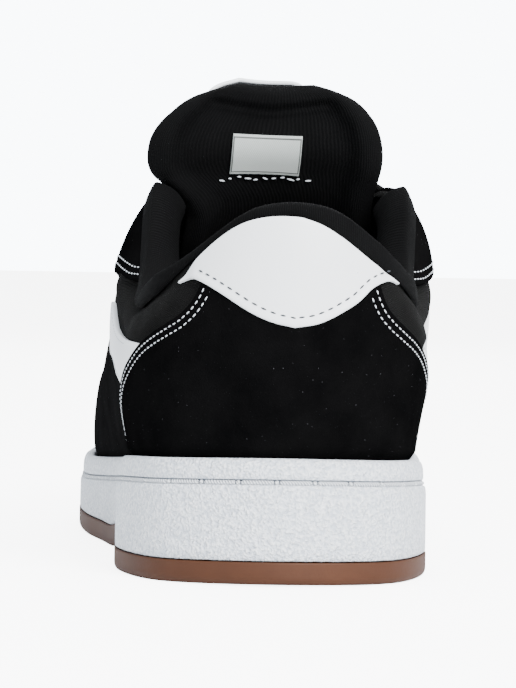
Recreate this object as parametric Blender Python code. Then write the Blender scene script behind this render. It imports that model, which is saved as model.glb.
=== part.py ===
# Skateboarding shoe, left foot, standing empty on its sole.
# Metres. +Z up, toe towards +Y, outer side of the foot towards -X.
# The origin is the middle of the heel's flat spot, on the ground.
import math

import bmesh
import bpy
import numpy as np

MM = 0.001

# Driving sizes
SHOE_LENGTH = 288 * MM
BALL_WIDTH = 104 * MM
HEEL_WIDTH = 80.4 * MM
WAIST_WIDTH = 79 * MM
HEEL_REACH = 40.2 * MM          # from the origin back to the heel's end
SOLE_HEEL_HEIGHT = 31.7 * MM
SOLE_BALL_HEIGHT = 21.7 * MM
GUM_HEIGHT = 5.7 * MM
LUG_DEPTH = 2.4 * MM
LUG_PITCH = 11.5 * MM
LUG_WIDTH = 7 * MM
PAD_DIAMETER = 24 * MM          # round tread pads under heel and ball
TREAD_RIM = 6 * MM
TREAD_ROUND = 2.6 * MM           # rounded corner under the sole's edge
TREAD_SLOPE = 0.6 * MM           # from the tread's rim down to its floor
TOE_SPRING = 11 * MM
ARCH_LIFT = 2.2 * MM
HEEL_BEVEL = 0.5 * MM
CUP_DEPTH = 12 * MM
CUP_WALL = 4.3 * MM
RIM_ROUND = 2.5 * MM            # rounded top corner of the cup
GROOVE_DROP = 5.2 * MM          # sole's top edge down to the stitch groove
GROOVE_HEIGHT = 1.5 * MM
GROOVE_DEPTH = 0.7 * MM
GROOVE_SETBACK = 0.7 * MM       # the wall stands out this much more under the groove
COLLAR_HEIGHT = 93.7 * MM
ANKLE_HEIGHT = 70.7 * MM
THROAT_HEIGHT = 100.7 * MM        # top corners of the eyestays
VAMP_HEIGHT = 70.7 * MM           # front end of the throat
WALL = 2.2 * MM
OVERLAY = 1.3 * MM
INSOLE_THICKNESS = 4.5 * MM
INSOLE_ROUND = 1.5 * MM
COLLAR_PAD = 8.5 * MM
COLLAR_ROLL = 3 * MM            # padding that stands above the upper's edge
COLLAR_END = 0.186              # the padding's ends, a share of the way round
TONGUE_HEIGHT = 129.2 * MM
TONGUE_WIDTH = 64.5 * MM
TONGUE_THICKNESS = 10 * MM
TONGUE_PATCH_WIDTH = 26.5 * MM
TONGUE_PATCH_HEIGHT = 20 * MM
TONGUE_PATCH_RISE = 1.3 * MM    # how far it shows above the tongue
TONGUE_PATCH_SIDE = -4.5 * MM   # its middle, towards the outer side
LACE_WIDTH = 7 * MM
LACE_THICKNESS = 1.8 * MM
EYELET_DIAMETER = 9 * MM
EYELET_HOLE = 4.6 * MM
EYELET_RISE = 1 * MM
LACE_ROWS = 6
GAP = 0.3 * MM                  # between pieces that meet
LINING_GAP = 0.9 * MM           # between the wall and the padding inside it
EYESTAY_SEAT = 0.7 * MM         # under an eyestay, where the wall turns hollow

RING_STEPS = 64                 # sections round the shoe
UPPER_ROWS = 8                  # rows up the free part of the upper

# The sole's widest outline. Each row: place along the shoe as a share of its length,
# the width it follows, then its outer and inner reach as shares of that width.
OUTLINE = (
    (0.140, "heel", 0.500, 0.500),
    (0.235, "waist", 0.506, 0.492),
    (0.340, "waist", 0.516, 0.462),
    (0.450, "ball", 0.436, 0.372),
    (0.545, "ball", 0.484, 0.426),
    (0.640, "ball", 0.506, 0.474),
    (0.730, "ball", 0.500, 0.490),
    (0.820, "ball", 0.452, 0.470),
    (0.905, "ball", 0.348, 0.392),
    (0.968, "ball", 0.200, 0.256),
)
TOE_SIDE_SHIFT = 0.024          # toe tip towards the inner side, a share of the ball width

# Top edge of the upper. Each row: share of the way round from heel to toe, place along the
# shoe as a share of its length, outer and inner reach as shares of the ball width, the
# height it follows, and its share of that height.
TOP_EDGE = (
    (0.000, 0.020, -0.034, 0.034, "collar", 1.000),
    (0.022, 0.027, 0.076, 0.143, "collar", 0.978),
    (0.045, 0.050, 0.183, 0.248, "collar", 0.893),
    (0.090, 0.120, 0.288, 0.318, "ankle", 1.040),
    (0.125, 0.192, 0.312, 0.322, "ankle", 1.000),
    (0.158, 0.258, 0.304, 0.330, "ankle", 1.120),
    (0.188, 0.318, 0.292, 0.338, "throat", 0.965),
    (0.215, 0.362, 0.262, 0.304, "throat", 1.000),
    (0.262, 0.444, 0.208, 0.232, "throat", 0.930),
    (0.310, 0.538, 0.164, 0.182, "throat", 0.843),
    (0.370, 0.622, 0.128, 0.142, "vamp", 1.095),
    (0.440, 0.668, 0.070, 0.084, "vamp", 1.028),
    (0.500, 0.681, -0.012, 0.012, "vamp", 1.000),
)

# How the wall swells between sole and top edge. Each row: share of the way round, rise of the
# steep lower part (share of the collar height), its outward lean, the crown's outward reach
# (shares of the ball width) and the crown's drop (share of the collar height).
SWELL = (
    (0.000, 0.250, 0.026, 0.046, 0.240),
    (0.045, 0.250, 0.024, 0.052, 0.220),
    (0.090, 0.190, 0.022, 0.084, 0.165),
    (0.125, 0.190, 0.034, 0.114, 0.170),
    (0.158, 0.200, 0.050, 0.140, 0.200),
    (0.188, 0.215, 0.050, 0.176, 0.225),
    (0.215, 0.210, 0.044, 0.214, 0.225),
    (0.262, 0.190, 0.030, 0.240, 0.150),
    (0.310, 0.190, 0.024, 0.250, 0.100),
    (0.370, 0.210, 0.020, 0.300, 0.070),
    (0.440, 0.210, 0.016, 0.480, 0.080),
    (0.500, 0.200, 0.012, 0.520, 0.080),
)

INNER_UPRIGHT = 0.010           # how much less the inner side leans out

# Overlay edges. Each row: share of the way round, then lower and upper edge as shares of the
# wall's height above the sole.
COUNTER = (
    (0.000, 0.0, 0.515),
    (0.010, 0.0, 0.545),
    (0.018, 0.0, 0.590),
    (0.027, 0.0, 0.660),
    (0.034, 0.0, 0.722),
    (0.040, 0.0, 0.790),
    (0.0435, 0.0, 0.752),
    (0.048, 0.0, 0.724),
    (0.058, 0.0, 0.700),
    (0.070, 0.0, 0.680),
    (0.082, 0.0, 0.645),
    (0.092, 0.0, 0.585),
    (0.102, 0.0, 0.495),
    (0.110, 0.0, 0.395),
    (0.117, 0.0, 0.280),
    (0.123, 0.0, 0.150),
    (0.127, 0.0, 0.050),
)
HEEL_TAB = (
    (0.000, 0.530, 0.983),
    (0.010, 0.560, 0.983),
    (0.018, 0.605, 0.980),
    (0.027, 0.680, 0.976),
    (0.034, 0.748, 0.970),
    (0.041, 0.838, 0.962),
    (0.048, 0.895, 0.950),
    (0.055, 0.912, 0.940),
    (0.061, 0.919, 0.930),
)
# Plain wedge on each side. Each row: share of the way round from the middle of the counter,
# then heights of its lower and upper edge as shares of the collar height. Its back follows
# the counter's edge.
SIDE_PANEL = (
    (0.092, 0.605, 0.615),
    (0.096, 0.586, 0.626),
    (0.102, 0.557, 0.636),
    (0.107, 0.531, 0.645),
    (0.113, 0.517, 0.654),
    (0.125, 0.524, 0.668),
    (0.150, 0.539, 0.690),
    (0.175, 0.558, 0.688),
    (0.200, 0.580, 0.668),
)
EYESTAY = (
    (0.152, 0.955, 0.985),
    (0.160, 0.900, 0.985),
    (0.168, 0.830, 0.985),
    (0.180, 0.750, 0.985),
    (0.200, 0.690, 0.985),
    (0.240, 0.665, 0.985),
    (0.290, 0.670, 0.985),
    (0.340, 0.700, 0.985),
    (0.390, 0.770, 0.985),
    (0.425, 0.850, 0.985),
)
FIRST_EYELET = 0.240            # shares of the way round
LAST_EYELET = 0.405
BACK_CENTRE = -0.003            # middle of counter and tab, a share of the way round
TOE_CAP = (
    (0.390, 0.0, 0.060),
    (0.410, 0.0, 0.260),
    (0.440, 0.0, 0.400),
    (0.470, 0.0, 0.460),
    (0.500, 0.0, 0.480),
)

WIDTHS = {"heel": HEEL_WIDTH, "waist": WAIST_WIDTH, "ball": BALL_WIDTH}
HEIGHTS = {
    "collar": COLLAR_HEIGHT,
    "ankle": ANKLE_HEIGHT,
    "throat": THROAT_HEIGHT,
    "vamp": VAMP_HEIGHT,
}
TOE_END = SHOE_LENGTH - HEEL_REACH
BALL_AT = 0.64 * SHOE_LENGTH - HEEL_REACH
FLAT_FROM = 0.41 * SHOE_LENGTH - HEEL_REACH
SPRING_FROM = 0.70 * SHOE_LENGTH - HEEL_REACH
HEEL_FLAT_TO = 0.27 * SHOE_LENGTH - HEEL_REACH
BEVEL_FROM = -0.55 * HEEL_REACH
LUG_BITE = 0.4 * MM             # how far a lug is rooted in the outsole


def along(share):
    return share * SHOE_LENGTH - HEEL_REACH


def step_between(value, low, high):
    """Smooth rise from 0 at low to 1 at high."""
    t = np.clip((value - low) / (high - low), 0.0, 1.0)
    return t * t * (3 - 2 * t)


def smooth_track(knots, values, wrap=False):
    """A smooth curve through values at the knots; with wrap it closes on itself after 1."""
    knots = np.array(knots, float)
    values = np.array(values, float)
    if wrap:
        knots = np.concatenate([knots[-3:] - 1, knots, knots[:3] + 1])
        values = np.concatenate([values[-3:], values, values[:3]])
    slopes = np.gradient(values, knots, axis=0)

    def read(at):
        at = np.asarray(at, float)
        if wrap:
            at = at % 1.0
        else:
            at = np.clip(at, knots[0], knots[-1])
        k = np.clip(np.searchsorted(knots, at) - 1, 0, len(knots) - 2)
        span = knots[k + 1] - knots[k]
        t = (at - knots[k]) / span
        if values.ndim > 1:
            t = t[..., None]
            span = span[..., None]
        return (
            (2 * t**3 - 3 * t**2 + 1) * values[k]
            + (t**3 - 2 * t**2 + t) * span * slopes[k]
            + (3 * t**2 - 2 * t**3) * values[k + 1]
            + (t**3 - t**2) * span * slopes[k + 1]
        )

    return read


def both_sides(rows, outer, inner):
    """Rows for the whole way round: outer side from heel to toe, inner side back."""
    out = [(row[0],) + tuple(outer(row)) for row in rows]
    back = [(1 - row[0],) + tuple(inner(row)) for row in reversed(rows) if 0 < row[0] < 0.5]
    return out + back


def make_outline():
    """The sole's widest line: share of the way round to x, y."""
    centre_heel = (0.0, -HEEL_REACH)
    corner = math.sqrt(0.5)
    points = [centre_heel, (-HEEL_WIDTH / 2 * corner, -HEEL_REACH * corner)]
    points += [(-o * WIDTHS[w], along(s)) for s, w, o, i in OUTLINE]
    points += [(TOE_SIDE_SHIFT * BALL_WIDTH, TOE_END)]
    points += [(i * WIDTHS[w], along(s)) for s, w, o, i in reversed(OUTLINE)]
    points += [(HEEL_WIDTH / 2 * corner, -HEEL_REACH * corner)]
    points = np.array(points)
    ends = np.concatenate([points, points[:1]])
    chords = np.linalg.norm(np.diff(ends, axis=0), axis=1)
    knots = np.concatenate([[0], np.cumsum(chords)])[:-1] / chords.sum()
    rough = smooth_track(knots, points, wrap=True)
    fine = np.linspace(0, 1, 1441)
    path = rough(fine)
    steps = np.concatenate([[0], np.cumsum(np.linalg.norm(np.diff(path, axis=0), axis=1))])
    toe = steps[np.argmax(path[:, 1])]
    total = steps[-1]
    shares = np.where(steps < toe, 0.5 * steps / toe, 0.5 + 0.5 * (steps - toe) / (total - toe))

    def read(a):
        a = np.asarray(a, float) % 1.0
        return np.stack([np.interp(a, shares, path[:, 0]), np.interp(a, shares, path[:, 1])], -1)

    return read


outline = make_outline()


def outward(a):
    """Level unit vector that points out of the outline."""
    ahead = outline(np.asarray(a) + 0.004) - outline(np.asarray(a) - 0.004)
    ahead /= np.linalg.norm(ahead, axis=-1, keepdims=True)
    return np.stack([-ahead[..., 1], ahead[..., 0]], -1)


def inset(a, distance):
    return outline(a) - outward(a) * np.asarray(distance)[..., None]


def spring(y):
    """Lift of the whole sole at the toe and at the heel's bevelled back."""
    toe = np.clip((y - SPRING_FROM) / (TOE_END - SPRING_FROM), 0, 1.1)
    heel = np.clip((BEVEL_FROM - y) / (BEVEL_FROM + HEEL_REACH), 0, 1.1)
    return TOE_SPRING * toe**2 + HEEL_BEVEL * heel**2


def arch(y):
    """Lift of the tread between heel and forefoot."""
    rise = step_between(y, HEEL_FLAT_TO, HEEL_FLAT_TO + 0.12 * SHOE_LENGTH)
    fall = step_between(y, FLAT_FROM - 0.07 * SHOE_LENGTH, FLAT_FROM)
    return ARCH_LIFT * rise * (1 - fall)


def sole_top(y):
    """Height of the cup's top edge."""
    drop = step_between(y, -HEEL_REACH, BALL_AT) * 0.6 + 0.4 * np.clip(
        (y + HEEL_REACH) / (BALL_AT + HEEL_REACH), 0, 1
    )
    return SOLE_HEEL_HEIGHT - (SOLE_HEEL_HEIGHT - SOLE_BALL_HEIGHT) * drop + spring(y)


def cup_floor(y):
    return sole_top(y) - CUP_DEPTH


def gum_top(y):
    return GUM_HEIGHT + spring(y) + arch(y)


top_rows = both_sides(
    TOP_EDGE,
    lambda r: (-r[2] * BALL_WIDTH, along(r[1]), r[5] * HEIGHTS[r[4]]),
    lambda r: (r[3] * BALL_WIDTH, along(r[1]), r[5] * HEIGHTS[r[4]]),
)
top_edge = smooth_track([r[0] for r in top_rows], [r[1:] for r in top_rows], wrap=True)
swell_rows = both_sides(SWELL, lambda r: r[1:], lambda r: (r[1], r[2] - INNER_UPRIGHT) + r[3:])
swell = smooth_track([r[0] for r in swell_rows], [r[1:] for r in swell_rows], wrap=True)

UPPER_INSET = CUP_WALL + GAP
FEATHER_IN = 0.25 * MM          # slack beyond the gap where the cup's wall curves


def upper_point(a, v):
    """Outer face of the upper: v from 0 at the sole's top edge to 1 at the top edge."""
    a, v = np.broadcast_arrays(np.asarray(a, float), np.asarray(v, float))
    base = inset(a, UPPER_INSET + FEATHER_IN)
    top = top_edge(a)
    rise, lean, reach, drop = np.moveaxis(swell(a), -1, 0)
    out = outward(a)
    low = np.concatenate([base, sole_top(outline(a)[..., 1])[..., None]], -1)
    out3 = np.concatenate([out, np.zeros(out.shape[:-1] + (1,))], -1)
    up = np.array([0.0, 0.0, 1.0])
    first = low + out3 * (lean * BALL_WIDTH)[..., None] + up * (rise * COLLAR_HEIGHT)[..., None]
    second = top + out3 * (reach * BALL_WIDTH)[..., None] - up * (drop * COLLAR_HEIGHT)[..., None]
    t = v[..., None]
    return (1 - t) ** 3 * low + 3 * t * (1 - t) ** 2 * first + 3 * t**2 * (1 - t) * second + t**3 * top


def upper_normal(a, v):
    step = 0.002
    low = np.maximum(v - step, 0.0)
    high = np.minimum(v + step, 1.0)
    round_way = upper_point(np.asarray(a) + step, v) - upper_point(np.asarray(a) - step, v)
    up_way = upper_point(a, high) - upper_point(a, low)
    normal = np.cross(up_way, round_way)
    return normal / np.linalg.norm(normal, axis=-1, keepdims=True)


def upper_offset(a, v, distance):
    """A point that lies off the upper's outer face; a minus distance is inside."""
    return upper_point(a, v) + upper_normal(a, v) * np.asarray(distance)[..., None]


def share_at_height(a, height):
    """How far up the wall, from 0 to 1, this height lies."""
    ladder_up = np.linspace(0, 1, 101)
    return np.interp(height, upper_point(a, ladder_up)[:, 2], ladder_up)


def ring_shares(steps):
    """Shares of the way round, closer together at heel and toe."""
    even = np.arange(steps) / steps
    return (even - 0.045 * np.sin(4 * math.pi * even) / 1.4) % 1.0


def material(name, colour, roughness):
    mat = bpy.data.materials.new(name)
    mat.use_nodes = True
    shader = mat.node_tree.nodes["Principled BSDF"]
    shader.inputs["Base Color"].default_value = (*colour, 1)
    shader.inputs["Roughness"].default_value = roughness
    shader.inputs["Metallic"].default_value = 0
    return mat


def finish(name, bm, mat):
    bmesh.ops.triangulate(bm, faces=[f for f in bm.faces if len(f.verts) > 4])
    bmesh.ops.recalc_face_normals(bm, faces=bm.faces)
    mesh = bpy.data.meshes.new(name)
    bm.to_mesh(mesh)
    bm.free()
    mesh.shade_smooth()
    mesh.set_sharp_from_angle(angle=math.radians(40))
    mesh.materials.append(mat)
    obj = bpy.data.objects.new(name, mesh)
    bpy.context.scene.collection.objects.link(obj)
    return obj


def add_loops(bm, sections):
    return [[bm.verts.new(p) for p in section] for section in sections]


def skin(bm, loops, close_loop, close_row):
    """Faces between neighbouring loops of vertices."""
    count = len(loops)
    for i in range(count if close_row else count - 1):
        here, there = loops[i], loops[(i + 1) % count]
        size = len(here)
        for j in range(size if close_loop else size - 1):
            k = (j + 1) % size
            bm.faces.new((here[j], here[k], there[k], there[j]))


def ladder(bm, one, other):
    """Fills the flat gap between two rows of vertices that run the same way."""
    for j in range(len(one) - 1):
        bm.faces.new((one[j], one[j + 1], other[j + 1], other[j]))


def shell_patch(name, mat, rows, shares, v_steps, side=1, centre=0.0, seat=GAP):
    """A thin overlay on the upper between the lower and upper edges that rows give."""
    lower = smooth_track([r[0] for r in rows], [r[1] for r in rows])
    upper = smooth_track([r[0] for r in rows], [r[2] for r in rows])
    bm = bmesh.new()
    sections = []
    for share in shares:
        mirrored = abs(share - centre)
        a = share if side > 0 else 1 - share
        v = lower(mirrored) + (upper(mirrored) - lower(mirrored)) * np.linspace(0, 1, v_steps)
        clear = sole_clearance(a, v)
        inner = upper_offset(a, clear, np.full(v_steps, seat))
        outer = upper_offset(a, clear, np.full(v_steps, seat + OVERLAY))
        sections.append(np.concatenate([outer, inner[::-1]]))
    loops = add_loops(bm, sections)
    skin(bm, loops, True, False)
    for loop in (loops[0], loops[-1]):
        ladder(bm, loop[:v_steps], loop[v_steps:][::-1])
    return finish(name, bm, mat)


def sole_clearance(a, v):
    """Lifts a patch's lowest row just above the cup's rim."""
    rise = swell(a)[..., 0] * COLLAR_HEIGHT
    least = 1.6 * GAP / (3 * rise)
    return np.maximum(v, least)


def shares_between(first, last, count):
    return np.linspace(first, last, count)


def side_panel_rows():
    """The wedge's edges as shares of the wall's height, at shares of the way round."""
    track = smooth_track([r[0] for r in SIDE_PANEL], [r[1:] for r in SIDE_PANEL])
    rows = []
    for share in np.linspace(SIDE_PANEL[0][0], SIDE_PANEL[-1][0], 11):
        edges = [share_at_height(BACK_CENTRE + share, z * COLLAR_HEIGHT) for z in track(share)]
        rows.append((share, *edges))
    return rows


def make_upper(mat):
    shares = ring_shares(RING_STEPS)
    heights = np.linspace(0, 1, UPPER_ROWS + 1)
    bm = bmesh.new()
    sections = []
    for a in shares:
        outer = upper_point(a, heights)
        inner = upper_offset(a, heights, np.full(len(heights), -WALL))
        floor = cup_floor(outline(a)[1]) + GAP
        foot = outer[0].copy()
        foot[2] = floor
        foot_in = inner[0].copy()
        foot_in[2] = floor
        sections.append(np.concatenate([[foot], outer, inner[::-1], [foot_in]]))
    skin(bm, add_loops(bm, sections), True, True)
    return finish("upper", bm, mat)


def sole_section(a):
    """Profile of the cup's wall at one place, from its lower outer corner over the rim."""
    y = float(outline(a)[1])
    top = float(sole_top(y))
    foot = float(gum_top(y)) + GAP
    floor = float(cup_floor(y))
    groove_top = top - GROOVE_DROP
    groove_foot = groove_top - GROOVE_HEIGHT
    profile = (
        (0.0, foot),
        (0.15 * GROOVE_SETBACK, foot + 0.45 * (groove_foot - foot)),
        (GROOVE_SETBACK, groove_foot),
        (GROOVE_SETBACK + GROOVE_DEPTH, groove_foot + 0.2 * GROOVE_HEIGHT),
        (GROOVE_SETBACK + GROOVE_DEPTH, groove_top - 0.2 * GROOVE_HEIGHT),
        (0.44 * RIM_ROUND, groove_top),
        (0.48 * RIM_ROUND, top - 0.88 * RIM_ROUND),
        (0.68 * RIM_ROUND, top - 0.28 * RIM_ROUND),
        (RIM_ROUND, top),
        (CUP_WALL, top),
        (CUP_WALL, floor),
    )
    ways = np.array([p[0] for p in profile])
    flat = inset(np.full(len(profile), float(a)), ways)
    return np.concatenate([flat, np.array([p[1] for p in profile])[:, None]], -1)


def across(bm, loops, index, height):
    """Closes a ring's open middle with bands that run from side to side."""
    count = len(loops)
    half = count // 2
    left = [loops[i][index] for i in range(1, half)]
    right = [loops[count - i][index] for i in range(1, half)]
    heel = loops[0][index]
    toe = loops[half][index]
    middle = []
    for one, other in zip(left, right):
        x = (one.co.x + other.co.x) / 2
        y = (one.co.y + other.co.y) / 2
        middle.append(bm.verts.new((x, y, height(y))))
    bm.faces.new((heel, left[0], middle[0]))
    bm.faces.new((heel, middle[0], right[0]))
    ladder(bm, left, middle)
    ladder(bm, middle, right)
    bm.faces.new((toe, left[-1], middle[-1]))
    bm.faces.new((toe, middle[-1], right[-1]))


def make_cupsole(mat):
    bm = bmesh.new()
    loops = add_loops(bm, [sole_section(a) for a in ring_shares(RING_STEPS)])
    skin(bm, loops, False, True)
    across(bm, loops, -1, lambda y: float(cup_floor(y)))
    across(bm, loops, 0, lambda y: float(gum_top(y)) + GAP)
    return finish("cupsole", bm, mat)


def make_outsole(mat):
    bm = bmesh.new()
    sections = []
    for a in ring_shares(RING_STEPS):
        y = float(outline(a)[1])
        lift = float(spring(y) + arch(y))
        profile = (
            (0.0, GUM_HEIGHT),
            (0.0, 0.85 * TREAD_ROUND),
            (0.3 * TREAD_ROUND, 0.27 * TREAD_ROUND),
            (TREAD_ROUND, 0.0),
            (TREAD_ROUND + TREAD_RIM, 0.0),
            (TREAD_ROUND + TREAD_RIM + TREAD_SLOPE, LUG_DEPTH),
        )
        flat = inset(np.full(len(profile), float(a)), np.array([p[0] for p in profile]))
        heights = np.array([p[1] for p in profile]) + lift
        sections.append(np.concatenate([flat, heights[:, None]], -1))
    loops = add_loops(bm, sections)
    skin(bm, loops, False, True)
    across(bm, loops, 0, lambda y: float(gum_top(y)))
    across(bm, loops, -1, lambda y: float(spring(y) + arch(y)) + LUG_DEPTH)
    obj = finish("outsole", bm, mat)
    lugs = make_lugs()
    union = obj.modifiers.new("lugs", "BOOLEAN")
    union.operation = "UNION"
    union.solver = "EXACT"
    union.object = lugs
    union.use_self = True
    return obj


def tread_reach(y):
    """Outer and inner x where the tread's rim ends at this place along the shoe."""
    fine = np.linspace(0, 1, 721)
    line = inset(fine, np.full(len(fine), TREAD_ROUND + TREAD_RIM + 0.3 * TREAD_SLOPE))
    outer = line[(fine > 0.02) & (fine < 0.49)]
    inner = line[(fine > 0.51) & (fine < 0.98)]
    left = np.interp(y, outer[:, 1], outer[:, 0])
    right = np.interp(y, inner[::-1, 1], inner[::-1, 0])
    return float(left), float(right)


def prism(bm, plan, low, high):
    """Closed block over a plan; low and high give its faces' heights at x, y."""
    foot = [bm.verts.new((x, y, low(y))) for x, y in plan]
    head = [bm.verts.new((x, y, high(y))) for x, y in plan]
    bm.faces.new(foot[::-1])
    bm.faces.new(head)
    for i in range(len(plan)):
        j = (i + 1) % len(plan)
        bm.faces.new((foot[i], foot[j], head[j], head[i]))


def make_lugs():
    """Chevron bars across the tread, with a round pad under the heel and the ball."""
    bm = bmesh.new()

    def ground(y):
        return float(spring(y) + arch(y))

    def root(y):
        return ground(y) + LUG_DEPTH + LUG_BITE

    first = -HEEL_REACH + 0.075 * SHOE_LENGTH
    last = TOE_END - 0.085 * SHOE_LENGTH
    count = int((last - first) / LUG_PITCH)
    pads = ((0.0, 0.0), (0.01 * BALL_WIDTH, BALL_AT - 0.04 * SHOE_LENGTH))
    for k in range(count + 1):
        y = first + k * LUG_PITCH
        if any(abs(y - py) < PAD_DIAMETER / 2 + LUG_WIDTH * 0.9 for _, py in pads):
            continue
        left, right = tread_reach(y)
        mid = (left + right) / 2
        bend = 0.25 * LUG_PITCH
        back, front = y - LUG_WIDTH / 2, y + LUG_WIDTH / 2
        plan = [(left, back), (mid, back + bend), (right, back)]
        plan += [(right, front), (mid, front + bend), (left, front)]
        prism(bm, plan, ground, root)
    for px, py in pads:
        ring = [
            (px + PAD_DIAMETER / 2 * math.cos(t), py + PAD_DIAMETER / 2 * math.sin(t))
            for t in np.arange(16) * math.tau / 16
        ]
        prism(bm, ring, ground, root)
        for side in (-1, 1):
            reach = tread_reach(py)[0 if side < 0 else 1]
            near = px + side * 0.62 * PAD_DIAMETER
            xs = sorted((near, reach))
            for offset in (-LUG_PITCH * 0.75, LUG_PITCH * 0.25):
                plan = [(xs[0], py + offset), (xs[1], py + offset)]
                plan += [(xs[1], py + offset + LUG_WIDTH * 0.8), (xs[0], py + offset + LUG_WIDTH * 0.8)]
                prism(bm, plan, ground, root)
    obj = finish("lug_cutter", bm, bpy.data.materials["gum_rubber"])
    obj.hide_render = True
    obj.display_type = "WIRE"
    return obj


def make_insole(mat):
    """Footbed that lies on the cup's floor inside the upper."""
    bm = bmesh.new()
    sections = []
    for a in ring_shares(RING_STEPS // 2):
        edge_in = UPPER_INSET + FEATHER_IN + WALL + 2 * GAP
        edge = inset(a, edge_in)
        floor = float(cup_floor(outline(a)[1])) + GAP
        shoulder = inset(a, edge_in + INSOLE_ROUND)
        rows = [(*edge, floor), (*edge, floor + 0.7 * INSOLE_THICKNESS)]
        rows.append((*shoulder, floor + INSOLE_THICKNESS))
        sections.append(rows)
    loops = add_loops(bm, sections)
    skin(bm, loops, False, True)
    across(bm, loops, 0, lambda y: float(cup_floor(y)) + GAP)
    across(bm, loops, -1, lambda y: float(cup_floor(y)) + GAP + INSOLE_THICKNESS)
    return finish("insole", bm, mat)


def make_collar_pad(mat):
    """Padded collar inside the upper, from one eyestay round the heel to the other."""
    bm = bmesh.new()
    sections = []
    for share in np.linspace(-COLLAR_END, COLLAR_END, 29):
        a = share % 1.0
        taper = 1 - 0.3 * abs(share / COLLAR_END) ** 3
        depth = WALL + LINING_GAP
        full = COLLAR_PAD * taper
        rows_out = [upper_offset(a, v, -depth) for v in (0.50, 0.66, 0.82, 0.96)]
        peak = top_edge(a)
        way_up = upper_point(a, 1.0) - upper_point(a, 0.97)
        way_up /= np.linalg.norm(way_up)
        inward = -upper_normal(a, 1.0)
        crown = [
            peak + way_up * (4 * GAP) + inward * (depth + GAP),
            peak + way_up * (4 * GAP + 0.2 * COLLAR_ROLL) + inward * (0.35 * WALL),
            peak + way_up * COLLAR_ROLL + inward * (depth + 0.35 * full),
            peak + way_up * (0.75 * COLLAR_ROLL) + inward * (depth + 0.75 * full),
        ]
        depths = ((0.95, 1.0), (0.82, 1.04), (0.66, 0.85), (0.52, 0.30))
        rows_in = [upper_offset(a, v, -(depth + full * d)) for v, d in depths]
        sections.append(np.array(rows_out + crown + rows_in))
    loops = add_loops(bm, sections)
    skin(bm, loops, True, False)
    for loop in (loops[0], loops[-1]):
        bm.faces.new(loop)
    return finish("collar_pad", bm, mat)


# Tongue's middle line from its root under the vamp: place along the shoe (share of length),
# height (share of the tongue's height), half width, bow of its edges and shift to the inner
# side (shares of its width), and thickness (share of its thickness).
TONGUE = (
    (0.705, 0.448, 0.26, 0.05, 0.000, 0.35),
    (0.650, 0.500, 0.30, 0.10, 0.000, 0.45),
    (0.570, 0.566, 0.36, 0.18, 0.000, 0.60),
    (0.480, 0.640, 0.41, 0.23, 0.000, 0.75),
    (0.414, 0.708, 0.40, 0.20, 0.030, 0.80),
    (0.386, 0.768, 0.37, 0.13, 0.035, 0.95),
    (0.373, 0.826, 0.48, 0.12, -0.018, 1.10),
    (0.366, 0.872, 0.50, 0.12, -0.025, 1.25),
    (0.369, 0.930, 0.44, 0.10, -0.005, 1.20),
    (0.374, 0.973, 0.34, 0.07, 0.015, 0.90),
    (0.377, 1.000, 0.19, 0.04, 0.030, 0.45),
)


def tongue_frame(s):
    """Middle point, direction up the tongue and its front face's direction at share s."""
    rows = TONGUE
    track = smooth_track(np.linspace(0, 1, len(rows)), [r for r in rows])
    row = track(s)
    ahead = track(min(s + 0.01, 1.0))
    behind = track(max(s - 0.01, 0.0))
    way = np.array([(ahead[0] - behind[0]) * SHOE_LENGTH, (ahead[1] - behind[1]) * TONGUE_HEIGHT])
    way /= np.linalg.norm(way)
    centre = np.array([row[4] * TONGUE_WIDTH, along(row[0]), row[1] * TONGUE_HEIGHT])
    return centre, np.array([0.0, way[1], -way[0]]), row


def tongue_point(s, across_share, out):
    """across_share from -1 to 1, out from -1 at the back face to 1 at the front face."""
    centre, front, row = tongue_frame(s)
    half = row[2] * TONGUE_WIDTH
    bow = row[3] * TONGUE_WIDTH
    thick = row[5] * TONGUE_THICKNESS / 2
    round_off = math.sqrt(max(0.0, 1 - abs(across_share) ** 4))
    x = across_share * half
    return centre + np.array([x, 0, 0]) + front * (thick * out * round_off - bow * across_share**2)


def make_tongue(mat):
    bm = bmesh.new()
    sides = (-1, -0.8, -0.4, 0, 0.4, 0.8, 1)
    sections = []
    for s in np.linspace(0, 1, 15):
        front = [tongue_point(s, u, 1) for u in sides]
        back = [tongue_point(s, u, -1) for u in sides[-2:0:-1]]
        sections.append(front + back)
    loops = add_loops(bm, sections)
    skin(bm, loops, True, False)
    for loop in (loops[0], loops[-1]):
        bm.faces.new(loop)
    return finish("tongue", bm, mat)


def tongue_top(x):
    """Height of the tongue's outline at this place across it."""
    shares = np.linspace(0.7, 1, 61)
    rows = smooth_track(np.linspace(0, 1, len(TONGUE)), TONGUE)(shares)
    heights = rows[:, 1] * TONGUE_HEIGHT
    middle = rows[-1, 4] * TONGUE_WIDTH
    side = np.sign(x - middle)
    reach = side * (rows[:, 4] + side * rows[:, 2]) * TONGUE_WIDTH
    return float(np.interp(side * x, reach[::-1], heights[::-1]))


def tongue_share_at(height):
    shares = np.linspace(0.4, 1, 121)
    rows = smooth_track(np.linspace(0, 1, len(TONGUE)), TONGUE)(shares)
    return float(np.interp(height, rows[:, 1] * TONGUE_HEIGHT, shares))


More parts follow.
